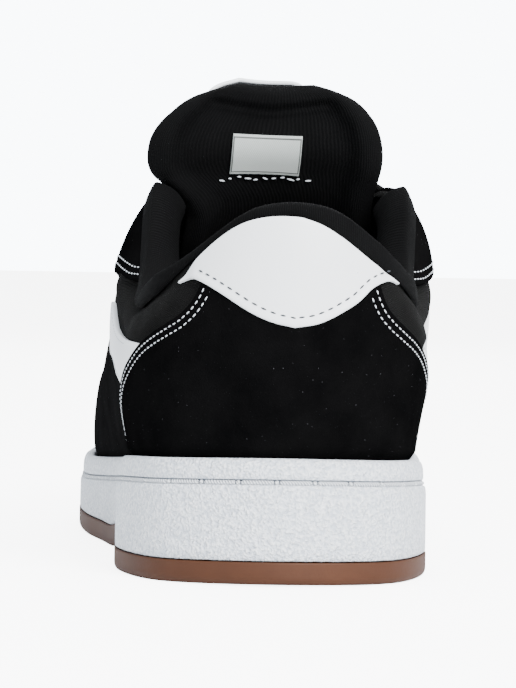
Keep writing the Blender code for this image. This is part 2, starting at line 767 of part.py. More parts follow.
def make_tongue_patch(mat):
    """Plain patch on the tongue's front that shows above its top edge."""
    bm = bmesh.new()
    sections = []
    for x in TONGUE_PATCH_SIDE + TONGUE_PATCH_WIDTH * np.linspace(-0.5, 0.5, 7):
        top = tongue_top(x)
        inner = []
        for down in (0.0, 0.1, 0.35, 0.7, 1.0):
            s = tongue_share_at(top - down * TONGUE_PATCH_HEIGHT)
            centre, front, row = tongue_frame(s)
            share = (x - row[4] * TONGUE_WIDTH) / (row[2] * TONGUE_WIDTH)
            place = tongue_point(s, np.clip(share, -1, 1), 1) + front * 1.5 * GAP
            rise = TONGUE_PATCH_RISE + GAP if down == 0 else 0.0
            inner.append(place + np.array([0, 0, rise]))
        outer = [p + np.array([0, OVERLAY, 0]) for p in inner]
        sections.append(outer + inner[::-1])
    loops = add_loops(bm, sections)
    skin(bm, loops, True, False)
    for loop in (loops[0], loops[-1]):
        ladder(bm, loop[:5], loop[5:][::-1])
    return finish("tongue_patch", bm, mat)


def eyelet_share(row):
    """Place of a lace row round the shoe, from the top of the throat to its front."""
    return FIRST_EYELET + (LAST_EYELET - FIRST_EYELET) * row / (LACE_ROWS - 1)


def eyelet_frame(row, side):
    """Seat of an eyelet on the eyestay, that face's direction, and the way up to its edge."""
    share = eyelet_share(row)
    a = share if side < 0 else 1 - share
    v = 0.90
    lift = EYESTAY_SEAT + OVERLAY + GAP
    climb = upper_point(a, 1.0) - upper_point(a, v)
    return upper_offset(a, v, lift), upper_normal(a, v), climb / np.linalg.norm(climb)


def make_eyelet(name, row, side, mat):
    """A pressed ring that lies on the eyestay."""
    seat, normal, _ = eyelet_frame(row, side)
    first = np.cross(normal, [0, 1, 0])
    first /= np.linalg.norm(first)
    second = np.cross(normal, first)
    bm = bmesh.new()
    outer = EYELET_DIAMETER / 2
    hole = EYELET_HOLE / 2
    profile = ((outer, 0.0), (0.5 * (outer + hole), EYELET_RISE), (hole, 0.0))
    sections = []
    for t in np.arange(10) * math.tau / 10:
        way = first * math.cos(t) + second * math.sin(t)
        sections.append([seat + way * r + normal * h for r, h in profile])
    skin(bm, add_loops(bm, sections), True, True)
    return finish(name, bm, mat)


def lace_path(start, end, t, rest):
    """A place on a lace that leaves one eyelet up the wall and comes down into another."""
    (seat, up, climb), (far, far_up, far_climb) = start, end
    reach = 0.37 * np.linalg.norm(far - seat)
    first = seat + up * rest
    last = far + far_up * rest
    second = first + climb * reach
    third = last + far_climb * reach
    u = 1 - t
    return u**3 * first + 3 * t * u * u * second + 3 * t * t * u * third + t**3 * last


def lace_band(bm, start, end, share=1.0):
    """A flat lace from one eyelet to another, in a low arch over the tongue."""
    rest = EYELET_RISE + LACE_THICKNESS / 2 + 3 * GAP + (1 - share) * 4 * LACE_THICKNESS
    sections = []
    ways = np.linspace(-0.04, 1.04, 9)
    for t in ways:
        up = start[1] * (1 - t) + end[1] * t
        way = lace_path(start, end, t + 0.02, rest) - lace_path(start, end, t - 0.02, rest)
        way /= np.linalg.norm(way)
        side_way = np.cross(way, up)
        side_way /= np.linalg.norm(side_way)
        up = np.cross(side_way, way)
        p = lace_path(start, end, t, rest)
        wide = side_way * (share * LACE_WIDTH / 2)
        deep = up * (LACE_THICKNESS / 2)
        sections.append([p - wide + deep, p + wide + deep, p + wide - deep, p - wide - deep])
    loops = add_loops(bm, sections)
    skin(bm, loops, True, False)
    bm.faces.new(loops[0])
    bm.faces.new(loops[-1])


def make_laces(mat):
    """Flat lace, crossed row by row and joined where it crosses and turns."""
    bm = bmesh.new()
    for row in range(LACE_ROWS - 1):
        for side, share in ((-1, 1.0), (1, 0.9)):
            lace_band(bm, eyelet_frame(row, side), eyelet_frame(row + 1, -side), share)
    last = LACE_ROWS - 1
    lace_band(bm, eyelet_frame(last, -1), eyelet_frame(last, 1), 0.95)
    obj = finish("laces", bm, mat)
    weld = obj.modifiers.new("joined", "BOOLEAN")
    weld.operation = "UNION"
    weld.solver = "EXACT"
    weld.use_self = True
    weld.object = lace_knot(mat)
    return obj


def lace_knot(mat):
    """A small block inside the lowest bar, which the union joins with every crossing."""
    rest = EYELET_RISE + LACE_THICKNESS / 2 + 3 * GAP + 0.05 * 4 * LACE_THICKNESS
    last = LACE_ROWS - 1
    middle = lace_path(eyelet_frame(last, -1), eyelet_frame(last, 1), 0.5, rest)
    bm = bmesh.new()
    bmesh.ops.create_cube(bm, size=0.6 * LACE_THICKNESS)
    bmesh.ops.translate(bm, vec=middle, verts=bm.verts)
    obj = finish("lace_cutter", bm, mat)
    obj.hide_render = True
    obj.display_type = "WIRE"
    return obj


def clear_scene():
    for obj in list(bpy.data.objects):
        bpy.data.objects.remove(obj, do_unlink=True)


def build():
    clear_scene()
    gum = material("gum_rubber", (0.27, 0.10, 0.06), 0.55)
    white_rubber = material("white_rubber", (0.80, 0.82, 0.83), 0.5)
    canvas = material("upper_textile", (0.02, 0.02, 0.019), 0.85)
    suede = material("black_suede", (0.006, 0.006, 0.006), 0.95)
    leather = material("white_leather", (0.80, 0.82, 0.83), 0.42)
    lining = material("ribbed_lining", (0.008, 0.008, 0.008), 0.9)
    foam = material("footbed_fabric", (0.03, 0.03, 0.03), 0.9)
    cord = material("lace_cord", (0.015, 0.015, 0.015), 0.85)
    ring = material("eyelet_enamel", (0.02, 0.02, 0.02), 0.4)

    make_outsole(gum)
    make_cupsole(white_rubber)
    make_upper(canvas)
    make_insole(foam)
    make_collar_pad(lining)
    make_tongue(lining)
    make_tongue_patch(leather)

    for name, mat, rows, columns, v_steps in (
        ("heel_counter", suede, COUNTER, 31, 5),
        ("heel_tab", leather, HEEL_TAB, 19, 5),
    ):
        edge = rows[-1][0]
        shares = shares_between(BACK_CENTRE - edge, BACK_CENTRE + edge, columns)
        shell_patch(name, mat, rows, shares, v_steps, centre=BACK_CENTRE)
    for name, side in (("outer", 1), ("inner", -1)):
        wedge = side_panel_rows()
        shares = BACK_CENTRE + side * np.array([row[0] for row in wedge])
        shell_patch(name + "_side_panel", leather, wedge, shares, 4, centre=BACK_CENTRE, seat=1.5 * GAP)
        first, last = EYESTAY[0][0], EYESTAY[-1][0]
        shares = shares_between(first, last, 20)
        shell_patch(name + "_eyestay", suede, EYESTAY, shares, 4, side=side, seat=EYESTAY_SEAT)
    edge = TOE_CAP[0][0]
    wide = TOE_CAP + tuple((1 - r[0], r[1], r[2]) for r in reversed(TOE_CAP[:-1]))
    shell_patch("toe_cap", suede, wide, shares_between(edge, 1 - edge, 21), 8)

    for row in range(LACE_ROWS):
        make_eyelet("outer_eyelet_%d" % (row + 1), row, -1, ring)
        make_eyelet("inner_eyelet_%d" % (row + 1), row, 1, ring)
    make_laces(cord)


build()
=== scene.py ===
import math
import random

import bmesh
import bpy
import numpy as np
from mathutils import Matrix, Vector, noise


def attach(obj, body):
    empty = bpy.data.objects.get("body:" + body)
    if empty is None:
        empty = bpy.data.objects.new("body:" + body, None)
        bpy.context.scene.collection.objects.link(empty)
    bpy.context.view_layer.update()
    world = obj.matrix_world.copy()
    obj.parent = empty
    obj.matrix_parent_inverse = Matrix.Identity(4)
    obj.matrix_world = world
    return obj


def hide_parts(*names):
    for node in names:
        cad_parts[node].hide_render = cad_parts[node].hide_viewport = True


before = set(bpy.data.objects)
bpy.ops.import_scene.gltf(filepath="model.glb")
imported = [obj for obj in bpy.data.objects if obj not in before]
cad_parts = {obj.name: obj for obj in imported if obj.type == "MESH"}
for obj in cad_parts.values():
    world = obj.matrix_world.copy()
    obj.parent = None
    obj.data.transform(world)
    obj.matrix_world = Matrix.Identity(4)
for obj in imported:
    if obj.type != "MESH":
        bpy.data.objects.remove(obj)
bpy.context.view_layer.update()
scene = bpy.context.scene
mm = 0.001

# camera: low behind the heel, a little to the outer side
cameraValues = {
    "yaw": 1.8,              # degrees off the shoe's long axis
    "roll": 1.0,
    "distance": 1.0,
    "height": 0.0907,
    "focal": 3840.0,         # in pixels of the 516 x 688 picture
    "axisAt": (274.6, 225.0),
    "picture": (516, 688),
    "sensor": 36,
}


def makeCamera(values):
    wide, tall = values["picture"]
    yaw = math.radians(values["yaw"])
    data = bpy.data.cameras.new("photoCamera")
    data.sensor_fit = "HORIZONTAL"
    data.sensor_width = values["sensor"]
    data.lens = values["focal"] / wide * values["sensor"]
    data.clip_start = 0.05
    camera = bpy.data.objects.new("photoCamera", data)
    scene.collection.objects.link(camera)
    ahead = Vector((math.sin(yaw), math.cos(yaw), 0))
    place = Vector((0, 0, values["height"])) - ahead * values["distance"]
    tilt = math.atan((tall / 2 - values["axisAt"][1]) / values["focal"])
    turn = math.atan((wide / 2 - values["axisAt"][0]) / values["focal"])
    look = Matrix.Rotation(-turn, 4, "Z") @ Matrix.Rotation(-yaw, 4, "Z")
    look = look @ Matrix.Rotation(math.pi / 2 - tilt, 4, "X")
    look = look @ Matrix.Rotation(math.radians(values["roll"]), 4, "Z")
    camera.matrix_world = Matrix.Translation(place) @ look
    scene.camera = camera


makeCamera(cameraValues)
print("camera set")

# the last's own surfaces, the same as in the CAD
lastValues = {
    "length": 288 * mm,
    "ball": 104 * mm,
    "heel": 80.4 * mm,
    "waist": 79 * mm,
    "heelReach": 40.2 * mm,
    "soleHeel": 31.7 * mm,
    "soleBall": 21.7 * mm,
    "gum": 5.7 * mm,
    "toeSpring": 11 * mm,
    "archLift": 2.2 * mm,
    "heelBevel": 0.5 * mm,
    "cupDepth": 12 * mm,
    "cupWall": 4.3 * mm,
    "grooveDrop": 5.2 * mm,
    "grooveHeight": 1.5 * mm,
    "grooveDepth": 1.0 * mm,
    "collar": 93.7 * mm,
    "ankle": 70.7 * mm,
    "throat": 100.7 * mm,
    "vamp": 70.7 * mm,
    "wall": 2.2 * mm,
    "gap": 0.3 * mm,
    "toeShift": 0.024,
    "innerUpright": 0.010,
}
length = lastValues["length"]
ball = lastValues["ball"]
heelReach = lastValues["heelReach"]
collarHigh = lastValues["collar"]
wall = lastValues["wall"]
toeEnd = length - heelReach
ballAt = 0.64 * length - heelReach
perimeter = 0.70             # about, once round the sole

outlineRows = (
    (0.140, "heel", 0.500, 0.500), (0.235, "waist", 0.506, 0.492), (0.340, "waist", 0.516, 0.462),
    (0.450, "ball", 0.436, 0.372), (0.545, "ball", 0.484, 0.426), (0.640, "ball", 0.506, 0.474),
    (0.730, "ball", 0.500, 0.490), (0.820, "ball", 0.452, 0.470), (0.905, "ball", 0.348, 0.392),
    (0.968, "ball", 0.200, 0.256),
)
topRows = (
    (0.000, 0.020, -0.034, 0.034, "collar", 1.000), (0.022, 0.027, 0.076, 0.143, "collar", 0.978),
    (0.045, 0.050, 0.183, 0.248, "collar", 0.893), (0.090, 0.120, 0.288, 0.318, "ankle", 1.040),
    (0.125, 0.192, 0.312, 0.322, "ankle", 1.000), (0.158, 0.258, 0.304, 0.330, "ankle", 1.120),
    (0.188, 0.318, 0.292, 0.338, "throat", 0.965), (0.215, 0.362, 0.262, 0.304, "throat", 1.000),
    (0.262, 0.444, 0.208, 0.232, "throat", 0.930), (0.310, 0.538, 0.164, 0.182, "throat", 0.843),
    (0.370, 0.622, 0.128, 0.142, "vamp", 1.095), (0.440, 0.668, 0.070, 0.084, "vamp", 1.028),
    (0.500, 0.681, -0.012, 0.012, "vamp", 1.000),
)
swellRows = (
    (0.000, 0.250, 0.026, 0.046, 0.240), (0.045, 0.250, 0.024, 0.052, 0.220),
    (0.090, 0.190, 0.022, 0.084, 0.165), (0.125, 0.190, 0.034, 0.114, 0.170),
    (0.158, 0.200, 0.050, 0.140, 0.200), (0.188, 0.215, 0.050, 0.176, 0.225),
    (0.215, 0.210, 0.044, 0.214, 0.225), (0.262, 0.190, 0.030, 0.240, 0.150),
    (0.310, 0.190, 0.024, 0.250, 0.100), (0.370, 0.210, 0.020, 0.300, 0.070),
    (0.440, 0.210, 0.016, 0.480, 0.080), (0.500, 0.200, 0.012, 0.520, 0.080),
)


def spread(*values):         # the values as arrays of one shape
    return np.broadcast_arrays(*(np.asarray(value, float) for value in values))


def unit(ways):
    return ways / np.linalg.norm(ways, axis=-1, keepdims=True)


def along(share):
    return share * length - heelReach


def ramp(value, low, high):
    t = np.clip((value - low) / (high - low), 0.0, 1.0)
    return t * t * (3 - 2 * t)


def smoothTrack(knots, values, wrap=False):   # a smooth curve through the values at the knots
    knots = np.array(knots, float)
    values = np.array(values, float)
    if wrap:
        knots = np.concatenate([knots[-3:] - 1, knots, knots[:3] + 1])
        values = np.concatenate([values[-3:], values, values[:3]])
    slopes = np.gradient(values, knots, axis=0)

    def read(at):
        at = np.asarray(at, float)
        at = at % 1.0 if wrap else np.clip(at, knots[0], knots[-1])
        k = np.clip(np.searchsorted(knots, at) - 1, 0, len(knots) - 2)
        span = knots[k + 1] - knots[k]
        t = (at - knots[k]) / span
        if values.ndim > 1:
            t = t[..., None]
            span = span[..., None]
        low = (2 * t**3 - 3 * t**2 + 1) * values[k] + (t**3 - 2 * t**2 + t) * span * slopes[k]
        return low + (3 * t**2 - 2 * t**3) * values[k + 1] + (t**3 - t**2) * span * slopes[k + 1]

    return read


def bothSides(rows, outer, inner):
    out = [(row[0],) + tuple(outer(row)) for row in rows]
    return out + [(1 - row[0],) + tuple(inner(row)) for row in reversed(rows) if 0 < row[0] < 0.5]


def makeOutline():           # share of the way round to x, y on the sole's widest line
    corner = math.sqrt(0.5)
    halfHeel = lastValues["heel"] / 2 * corner
    points = [(0.0, -heelReach), (-halfHeel, -heelReach * corner)]
    points += [(-row[2] * lastValues[row[1]], along(row[0])) for row in outlineRows]
    points += [(lastValues["toeShift"] * ball, toeEnd)]
    points += [(row[3] * lastValues[row[1]], along(row[0])) for row in reversed(outlineRows)]
    points += [(halfHeel, -heelReach * corner)]
    points = np.array(points)
    chords = np.linalg.norm(np.diff(np.concatenate([points, points[:1]]), axis=0), axis=1)
    knots = np.concatenate([[0], np.cumsum(chords)])[:-1] / chords.sum()
    path = smoothTrack(knots, points, wrap=True)(np.linspace(0, 1, 1441))
    steps = np.concatenate([[0], np.cumsum(np.linalg.norm(np.diff(path, axis=0), axis=1))])
    toe = steps[np.argmax(path[:, 1])]
    shares = np.where(steps < toe, 0.5 * steps / toe, 0.5 + 0.5 * (steps - toe) / (steps[-1] - toe))

    def read(a):
        a = np.asarray(a, float) % 1.0
        return np.stack([np.interp(a, shares, path[:, 0]), np.interp(a, shares, path[:, 1])], -1)

    return read


outline = makeOutline()
topTrack = bothSides(
    topRows,
    lambda r: (-r[2] * ball, along(r[1]), r[5] * lastValues[r[4]]),
    lambda r: (r[3] * ball, along(r[1]), r[5] * lastValues[r[4]]),
)
topEdge = smoothTrack([r[0] for r in topTrack], [r[1:] for r in topTrack], wrap=True)
swellTrack = bothSides(
    swellRows, lambda r: r[1:], lambda r: (r[1], r[2] - lastValues["innerUpright"]) + r[3:])
swell = smoothTrack([r[0] for r in swellTrack], [r[1:] for r in swellTrack], wrap=True)


def outward(a):
    ahead = unit(outline(np.asarray(a) + 0.004) - outline(np.asarray(a) - 0.004))
    return np.stack([-ahead[..., 1], ahead[..., 0]], -1)


def inset(a, distance):
    return outline(a) - outward(a) * np.asarray(distance)[..., None]


def spring(y):
    springFrom = 0.70 * length - heelReach
    bevelFrom = -0.55 * heelReach
    toe = np.clip((y - springFrom) / (toeEnd - springFrom), 0, 1.1)
    heel = np.clip((bevelFrom - y) / (bevelFrom + heelReach), 0, 1.1)
    return lastValues["toeSpring"] * toe**2 + lastValues["heelBevel"] * heel**2


def arch(y):
    rise = ramp(y, along(0.27), along(0.39))
    return lastValues["archLift"] * rise * (1 - ramp(y, along(0.34), along(0.41)))


def soleTop(y):
    drop = ramp(y, -heelReach, ballAt) * 0.6
    drop = drop + 0.4 * np.clip((y + heelReach) / (ballAt + heelReach), 0, 1)
    return lastValues["soleHeel"] - (lastValues["soleHeel"] - lastValues["soleBall"]) * drop + spring(y)


def gumTop(y):
    return lastValues["gum"] + spring(y) + arch(y)


def upperPoint(a, v):        # v from 0 at the sole's rim to 1 at the top edge
    a, v = spread(a, v)
    base = inset(a, lastValues["cupWall"] + lastValues["gap"] + 0.25 * mm)
    top = topEdge(a)
    rise, lean, reach, drop = np.moveaxis(swell(a), -1, 0)
    out = outward(a)
    low = np.concatenate([base, soleTop(outline(a)[..., 1])[..., None]], -1)
    out3 = np.concatenate([out, np.zeros(out.shape[:-1] + (1,))], -1)
    up = np.array([0.0, 0.0, 1.0])
    first = low + out3 * (lean * ball)[..., None] + up * (rise * collarHigh)[..., None]
    second = top + out3 * (reach * ball)[..., None] - up * (drop * collarHigh)[..., None]
    t = v[..., None]
    return (1 - t) ** 3 * low + 3 * t * (1 - t) ** 2 * first + 3 * t**2 * (1 - t) * second + t**3 * top


def upperNormal(a, v):
    a, v = spread(a, v)
    roundWay = upperPoint(a + 0.002, v) - upperPoint(a - 0.002, v)
    upWay = upperPoint(a, np.minimum(v + 0.002, 1)) - upperPoint(a, np.maximum(v - 0.002, 0))
    return unit(np.cross(upWay, roundWay))


def upperOffset(a, v, distance):
    return upperPoint(a, v) + upperNormal(a, v) * np.asarray(distance)[..., None]


# where the padded ankle fabric shows: lower and upper edge by share of the way round
quarterLow = smoothTrack(
    (0, 0.05, 0.07, 0.088, 0.096, 0.107, 0.125, 0.15, 0.175, 0.20, 0.21),
    (1.0, 0.78, 0.69, 0.645, 0.665, 0.70, 0.74, 0.715, 0.63, 0.59, 0.58))
quarterHigh = smoothTrack(
    (0, 0.05, 0.09, 0.15, 0.168, 0.18, 0.21), (0.95, 0.95, 0.95, 0.93, 0.84, 0.76, 0.68))
ankleValues = {"stand": 1.7 * mm, "foldSize": 14 * mm, "foldDepth": 0.35}


def ripple(spots, size, seed=0.0):   # smooth unevenness from -1 to 1 over a set of points
    flat = spots.reshape(-1, 3) / size + seed
    return np.array([noise.noise(Vector(p)) for p in flat]).reshape(spots.shape[:-1])


def puff(a, v):              # how far the ankle's padding stands out
    share = np.minimum(a % 1.0, 1 - a % 1.0)
    body = ramp(v - quarterLow(share), 0.0, 0.09) * ramp(quarterHigh(share) - v, -0.01, 0.10)
    body = body * ramp(share, 0.045, 0.075) * (1 - ramp(share, 0.18, 0.21))
    spots = upperPoint(a, v) * np.array([1.0, 1.0, 1.8])     # so that the folds lie level
    folds = 1 + ankleValues["foldDepth"] * ripple(spots, ankleValues["foldSize"])
    return ankleValues["stand"] * body * folds


def onUpper(a, v, lift):     # a place on the upper as it shows, padding included
    a, v, lift = spread(a, v, lift)
    return upperOffset(a, v, lift + puff(a, v))


# marks and painted shade that materials draw by a piece's own UVs, which are in metres
markValues = {
    "grooveShadowAt": 26.3 * mm,       # painted shadow in the groove, this far up the cup's wall
    "grooveShadowHalf": 2.6 * mm,
    "dashes": 66,                # moulded in the groove, once round the sole
    "dashGap": 0.13,             # the plain piece between two dashes, as a share of both
    "plainHalf": 0.09,
    # half width of the painted shade in the notch where two dashes end
    "endShadeHalf": 0.018,
    "strands": 7600.0,
    "labelSize": (19.2 * mm, 9.4 * mm),
    "labelMargin": 1.6 * mm,
    "labelLine": 0.14 * mm,
}


# effects that several materials share, as node groups
def startGroup(name, outputs, **values):
    group = bpy.data.node_groups.new(name, "ShaderNodeTree")
    group.interface.new_socket("Vector", in_out="INPUT", socket_type="NodeSocketVector")
    for label, value in values.items():
        socket = group.interface.new_socket(label, in_out="INPUT", socket_type="NodeSocketFloat")
        socket.default_value = value
    for label in outputs:
        group.interface.new_socket(label, in_out="OUTPUT", socket_type="NodeSocketFloat")
    return group, group.nodes.new("NodeGroupInput").outputs, group.nodes.new("NodeGroupOutput").inputs


def addMath(tree, operation, one, other=None, third=None):
    node = tree.nodes.new("ShaderNodeMath")
    node.operation = operation
    for socket, value in zip(node.inputs, (one, other, third)):
        if isinstance(value, (int, float)):
            socket.default_value = value
        elif value is not None:
            tree.links.new(value, socket)
    return node.outputs[0]


def addTexture(tree, kind, vector, scale, **values):
    node = tree.nodes.new("ShaderNodeTex" + kind)
    tree.links.new(vector, node.inputs["Vector"])
    if isinstance(scale, (int, float)):
        node.inputs["Scale"].default_value = scale
    else:
        tree.links.new(scale, node.inputs["Scale"])
    for key, value in values.items():
        if hasattr(node, key):
            setattr(node, key, value)
        else:
            node.inputs[key].default_value = value
    return node


def splitAxes(tree, vector):
    node = tree.nodes.new("ShaderNodeSeparateXYZ")
    tree.links.new(vector, node.inputs[0])
    return node.outputs["X"], node.outputs["Y"]


def makeGrain():             # pebbled skin: rounded cells with fine unevenness over them
    group, given, result = startGroup("pebbleGrain", ("Height", "Shade"), Scale=900.0, Wrinkle=0.5)
    warp = addTexture(group, "Noise", given["Vector"], 500.0, Detail=2.0)
    offset = group.nodes.new("ShaderNodeVectorMath")
    offset.operation = "MULTIPLY_ADD"
    offset.inputs[1].default_value = (0.0009, 0.0009, 0.0009)
    group.links.new(warp.outputs["Color"], offset.inputs[0])
    group.links.new(given["Vector"], offset.inputs[2])
    cells = addTexture(group, "Voronoi", offset.outputs[0], given["Scale"], feature="SMOOTH_F1")
    creases = addTexture(group, "Noise", offset.outputs[0], 1500.0, Detail=2.0, Roughness=0.5)
    lines = addMath(group, "MULTIPLY", creases.outputs["Fac"], given["Wrinkle"])
    dome = addMath(group, "SUBTRACT", 1.0, cells.outputs["Distance"])
    height = addMath(group, "MULTIPLY_ADD", dome, 0.6, lines)
    group.links.new(height, result["Height"])
    group.links.new(addMath(group, "MULTIPLY_ADD", height, 2.6, -1.6), result["Shade"])
    return group


def makeWeave():             # two sets of yarns that pass over and under each other
    group, given, result = startGroup("plainWeave", ("Height", "Shade"), Pitch=0.0008, Fuzz=0.3)
    x, y = splitAxes(group, given["Vector"])
    turns = addMath(group, "DIVIDE", math.pi, given["Pitch"])
    one = addMath(group, "SINE", addMath(group, "MULTIPLY", x, turns))
    other = addMath(group, "SINE", addMath(group, "MULTIPLY", y, turns))
    cross = addMath(group, "MULTIPLY", one, other)
    fuzz = addTexture(group, "Noise", given["Vector"], 2200.0, Detail=3.0)
    rough = addMath(group, "SUBTRACT", fuzz.outputs["Fac"], 0.5)
    rough = addMath(group, "MULTIPLY", rough, given["Fuzz"])
    height = addMath(group, "ADD", addMath(group, "MULTIPLY_ADD", cross, 0.5, 0.5), rough)
    group.links.new(height, result["Height"])
    group.links.new(addMath(group, "MULTIPLY_ADD", height, 0.5, 0.4), result["Shade"])
    return group


def makeRibs():              # knitted ribs that run along the second UV direction
    group, given, result = startGroup("ribKnit", ("Height", "Shade"), Pitch=0.0009, Loops=0.3)
    x, y = splitAxes(group, given["Vector"])
    turns = addMath(group, "DIVIDE", math.tau, given["Pitch"])
    wobble = addTexture(group, "Noise", given["Vector"], 160.0, Detail=1.0)
    shifted = addMath(group, "MULTIPLY_ADD", wobble.outputs["Fac"], 0.0007, x)
    wave = addMath(group, "SINE", addMath(group, "MULTIPLY", shifted, turns))
    ridges = addMath(group, "MULTIPLY_ADD", wave, 0.5, 0.5)
    stitch = addMath(group, "MULTIPLY", y, addMath(group, "MULTIPLY", turns, 1.4))
    stitch = addMath(group, "MULTIPLY", addMath(group, "SINE", stitch), ridges)
    height = addMath(group, "ADD", ridges, addMath(group, "MULTIPLY", stitch, given["Loops"]))
    group.links.new(height, result["Height"])
    group.links.new(addMath(group, "MULTIPLY_ADD", height, 0.6, 0.3), result["Shade"])
    return group


def makeLint():              # sparse pale specks, as lint on dark nap
    group, given, result = startGroup("lintSpecks", ("Mask",), Scale=800.0, Size=0.06)
    cells = addTexture(group, "Voronoi", given["Vector"], given["Scale"])
    near = addMath(group, "LESS_THAN", cells.outputs["Distance"], given["Size"])
    parts = group.nodes.new("ShaderNodeSeparateColor")
    group.links.new(cells.outputs["Color"], parts.inputs[0])
    chosen = addMath(group, "GREATER_THAN", parts.outputs[0], 0.75)
    group.links.new(addMath(group, "MULTIPLY", near, chosen), result["Mask"])
    return group


def makeMottle():            # broad soft unevenness, from wear and handling
    group, given, result = startGroup("softMottle", ("Value",), Scale=60.0, Contrast=1.0)
    patches = addTexture(group, "Noise", given["Vector"], given["Scale"], Detail=5.0, Roughness=0.65)
    centred = addMath(group, "SUBTRACT", patches.outputs["Fac"], 0.5)
    centred = addMath(group, "MULTIPLY", centred, given["Contrast"])
    group.links.new(addMath(group, "ADD", centred, 0.5), result["Value"])
    return group


grain = makeGrain()
weave = makeWeave()
ribs = makeRibs()
lint = makeLint()
mottle = makeMottle()


class Finish:                # one material while its nodes are being laid out
    def __init__(self, name, roughness, **values):
        self.mat = bpy.data.materials.new(name)
        self.mat.use_nodes = True
        self.tree = self.mat.node_tree
        self.shader = self.tree.nodes["Principled BSDF"]
        self.shader.inputs["Roughness"].default_value = roughness
        for key, value in values.items():
            self.shader.inputs[key.replace("_", " ")].default_value = value
        self.coords = self.tree.nodes.new("ShaderNodeTexCoord").outputs
        self.normal = None

    def effect(self, group, source="Object", **values):
        node = self.tree.nodes.new("ShaderNodeGroup")
        node.node_tree = group
        self.tree.links.new(self.coords[source], node.inputs["Vector"])
        for key, value in values.items():
            node.inputs[key].default_value = value
        return node.outputs

    def mix(self, mask, one, other):
        node = self.tree.nodes.new("ShaderNodeMix")
        node.data_type = "RGBA"
        for label, value in (("Factor", mask), ("A", one), ("B", other)):
            if isinstance(value, tuple):
                node.inputs[label].default_value = (*value, 1)
            else:
                self.tree.links.new(value, node.inputs[label])
        return node.outputs["Result"]

    def colour(self, mask, one, other):
        self.tree.links.new(self.mix(mask, one, other), self.shader.inputs["Base Color"])

    def bump(self, height, distance, strength=1.0):
        node = self.tree.nodes.new("ShaderNodeBump")
        node.inputs["Distance"].default_value = distance
        node.inputs["Strength"].default_value = strength
        self.tree.links.new(height, node.inputs["Height"])
        if self.normal is not None:
            self.tree.links.new(self.normal, node.inputs["Normal"])
        self.normal = node.outputs["Normal"]
        self.tree.links.new(self.normal, self.shader.inputs["Normal"])


def whiteRubber():
    look = Finish("whiteRubber", 0.46, Specular_IOR_Level=0.42)
    pebbles = look.effect(grain, Scale=1250.0, Wrinkle=0.8)
    broad = look.effect(mottle, Scale=45.0, Contrast=1.2)
    base = look.mix(broad["Value"], (0.86, 0.88, 0.90), (0.92, 0.93, 0.94))
    base = look.mix(pebbles["Shade"], (0.54, 0.58, 0.64), base)
    # painted shadow: a dark band along the groove's recess, where shade falls
    up = splitAxes(look.tree, look.coords["UV"])[1]
    grooveShadow = addMath(look.tree, "COMPARE", up, markValues["grooveShadowAt"], markValues["grooveShadowHalf"])
    look.colour(grooveShadow, base, (0.20, 0.23, 0.28))
    look.bump(pebbles["Height"], 0.0010, 1.0)
    return look.mat


def mouldedThread():         # slanted strands on each dash with painted shade between them, and painted shade in the notch where two dashes end
    look = Finish("mouldedThread", 0.5)
    tree = look.tree
    broad = look.effect(mottle, Scale=300.0)
    base = look.mix(broad["Value"], (0.76, 0.79, 0.82), (0.84, 0.86, 0.88))
    x, y = splitAxes(tree, look.coords["UV"])
    slant = addMath(tree, "ADD", x, y)
    strands = addMath(tree, "SINE", addMath(tree, "MULTIPLY", slant, markValues["strands"]))
    beat = addMath(tree, "FRACT", addMath(tree, "MULTIPLY", x, markValues["dashes"] / perimeter))
    edge = addMath(tree, "MINIMUM", beat, addMath(tree, "SUBTRACT", 1.0, beat))
    plain = addMath(tree, "LESS_THAN", edge, markValues["plainHalf"])
    # painted shade between the moulded strands, none on the plain pieces
    light = addMath(tree, "MAXIMUM", addMath(tree, "MULTIPLY_ADD", strands, 0.5, 0.55), plain)
    base = look.mix(light, (0.44, 0.47, 0.52), base)
    # painted shade in the notch where two dashes end
    ends = addMath(tree, "COMPARE", edge, markValues["dashGap"] / 2, markValues["endShadeHalf"])
    look.colour(ends, base, (0.26, 0.29, 0.34))
    look.bump(strands, 0.0002)
    return look.mat


def gumRubber():
    look = Finish("gumRubber", 0.6, Specular_IOR_Level=0.2)
    broad = look.effect(mottle, Scale=70.0, Contrast=1.4)
    pebbles = look.effect(grain, Scale=1500.0, Wrinkle=0.3)
    look.colour(broad["Value"], (0.044, 0.0150, 0.0060), (0.066, 0.0235, 0.0100))
    look.bump(pebbles["Height"], 0.00006, 0.6)
    return look.mat


def suede(name, dark, pale):
    look = Finish(name, 1.0, Specular_IOR_Level=0.0)
    brushed = look.effect(mottle, Scale=55.0, Contrast=2.0)
    nap = look.effect(mottle, Scale=1900.0, Contrast=2.4)
    base = look.mix(brushed["Value"], dark, pale)
    look.colour(look.effect(lint)["Mask"], base, (0.10, 0.10, 0.11))
    look.bump(nap["Value"], 0.00018, 0.8)
    look.bump(brushed["Value"], 0.0004, 0.4)
    return look.mat


def ankleTextile():
    values = {"Specular_IOR_Level": 0.02, "Sheen_Weight": 0.01, "Sheen_Roughness": 0.5}
    look = Finish("ankleTextile", 0.95, **values)
    cloth = look.effect(weave, "UV", Pitch=0.0005, Fuzz=0.9)
    broad = look.effect(mottle, Scale=120.0, Contrast=1.5)
    base = look.mix(broad["Value"], (0.0040, 0.0040, 0.0039), (0.0112, 0.0110, 0.0106))
    look.colour(cloth["Shade"], (0.0022, 0.0022, 0.0022), base)
    look.bump(cloth["Height"], 0.00025)
    look.bump(broad["Value"], 0.0005, 0.5)
    return look.mat


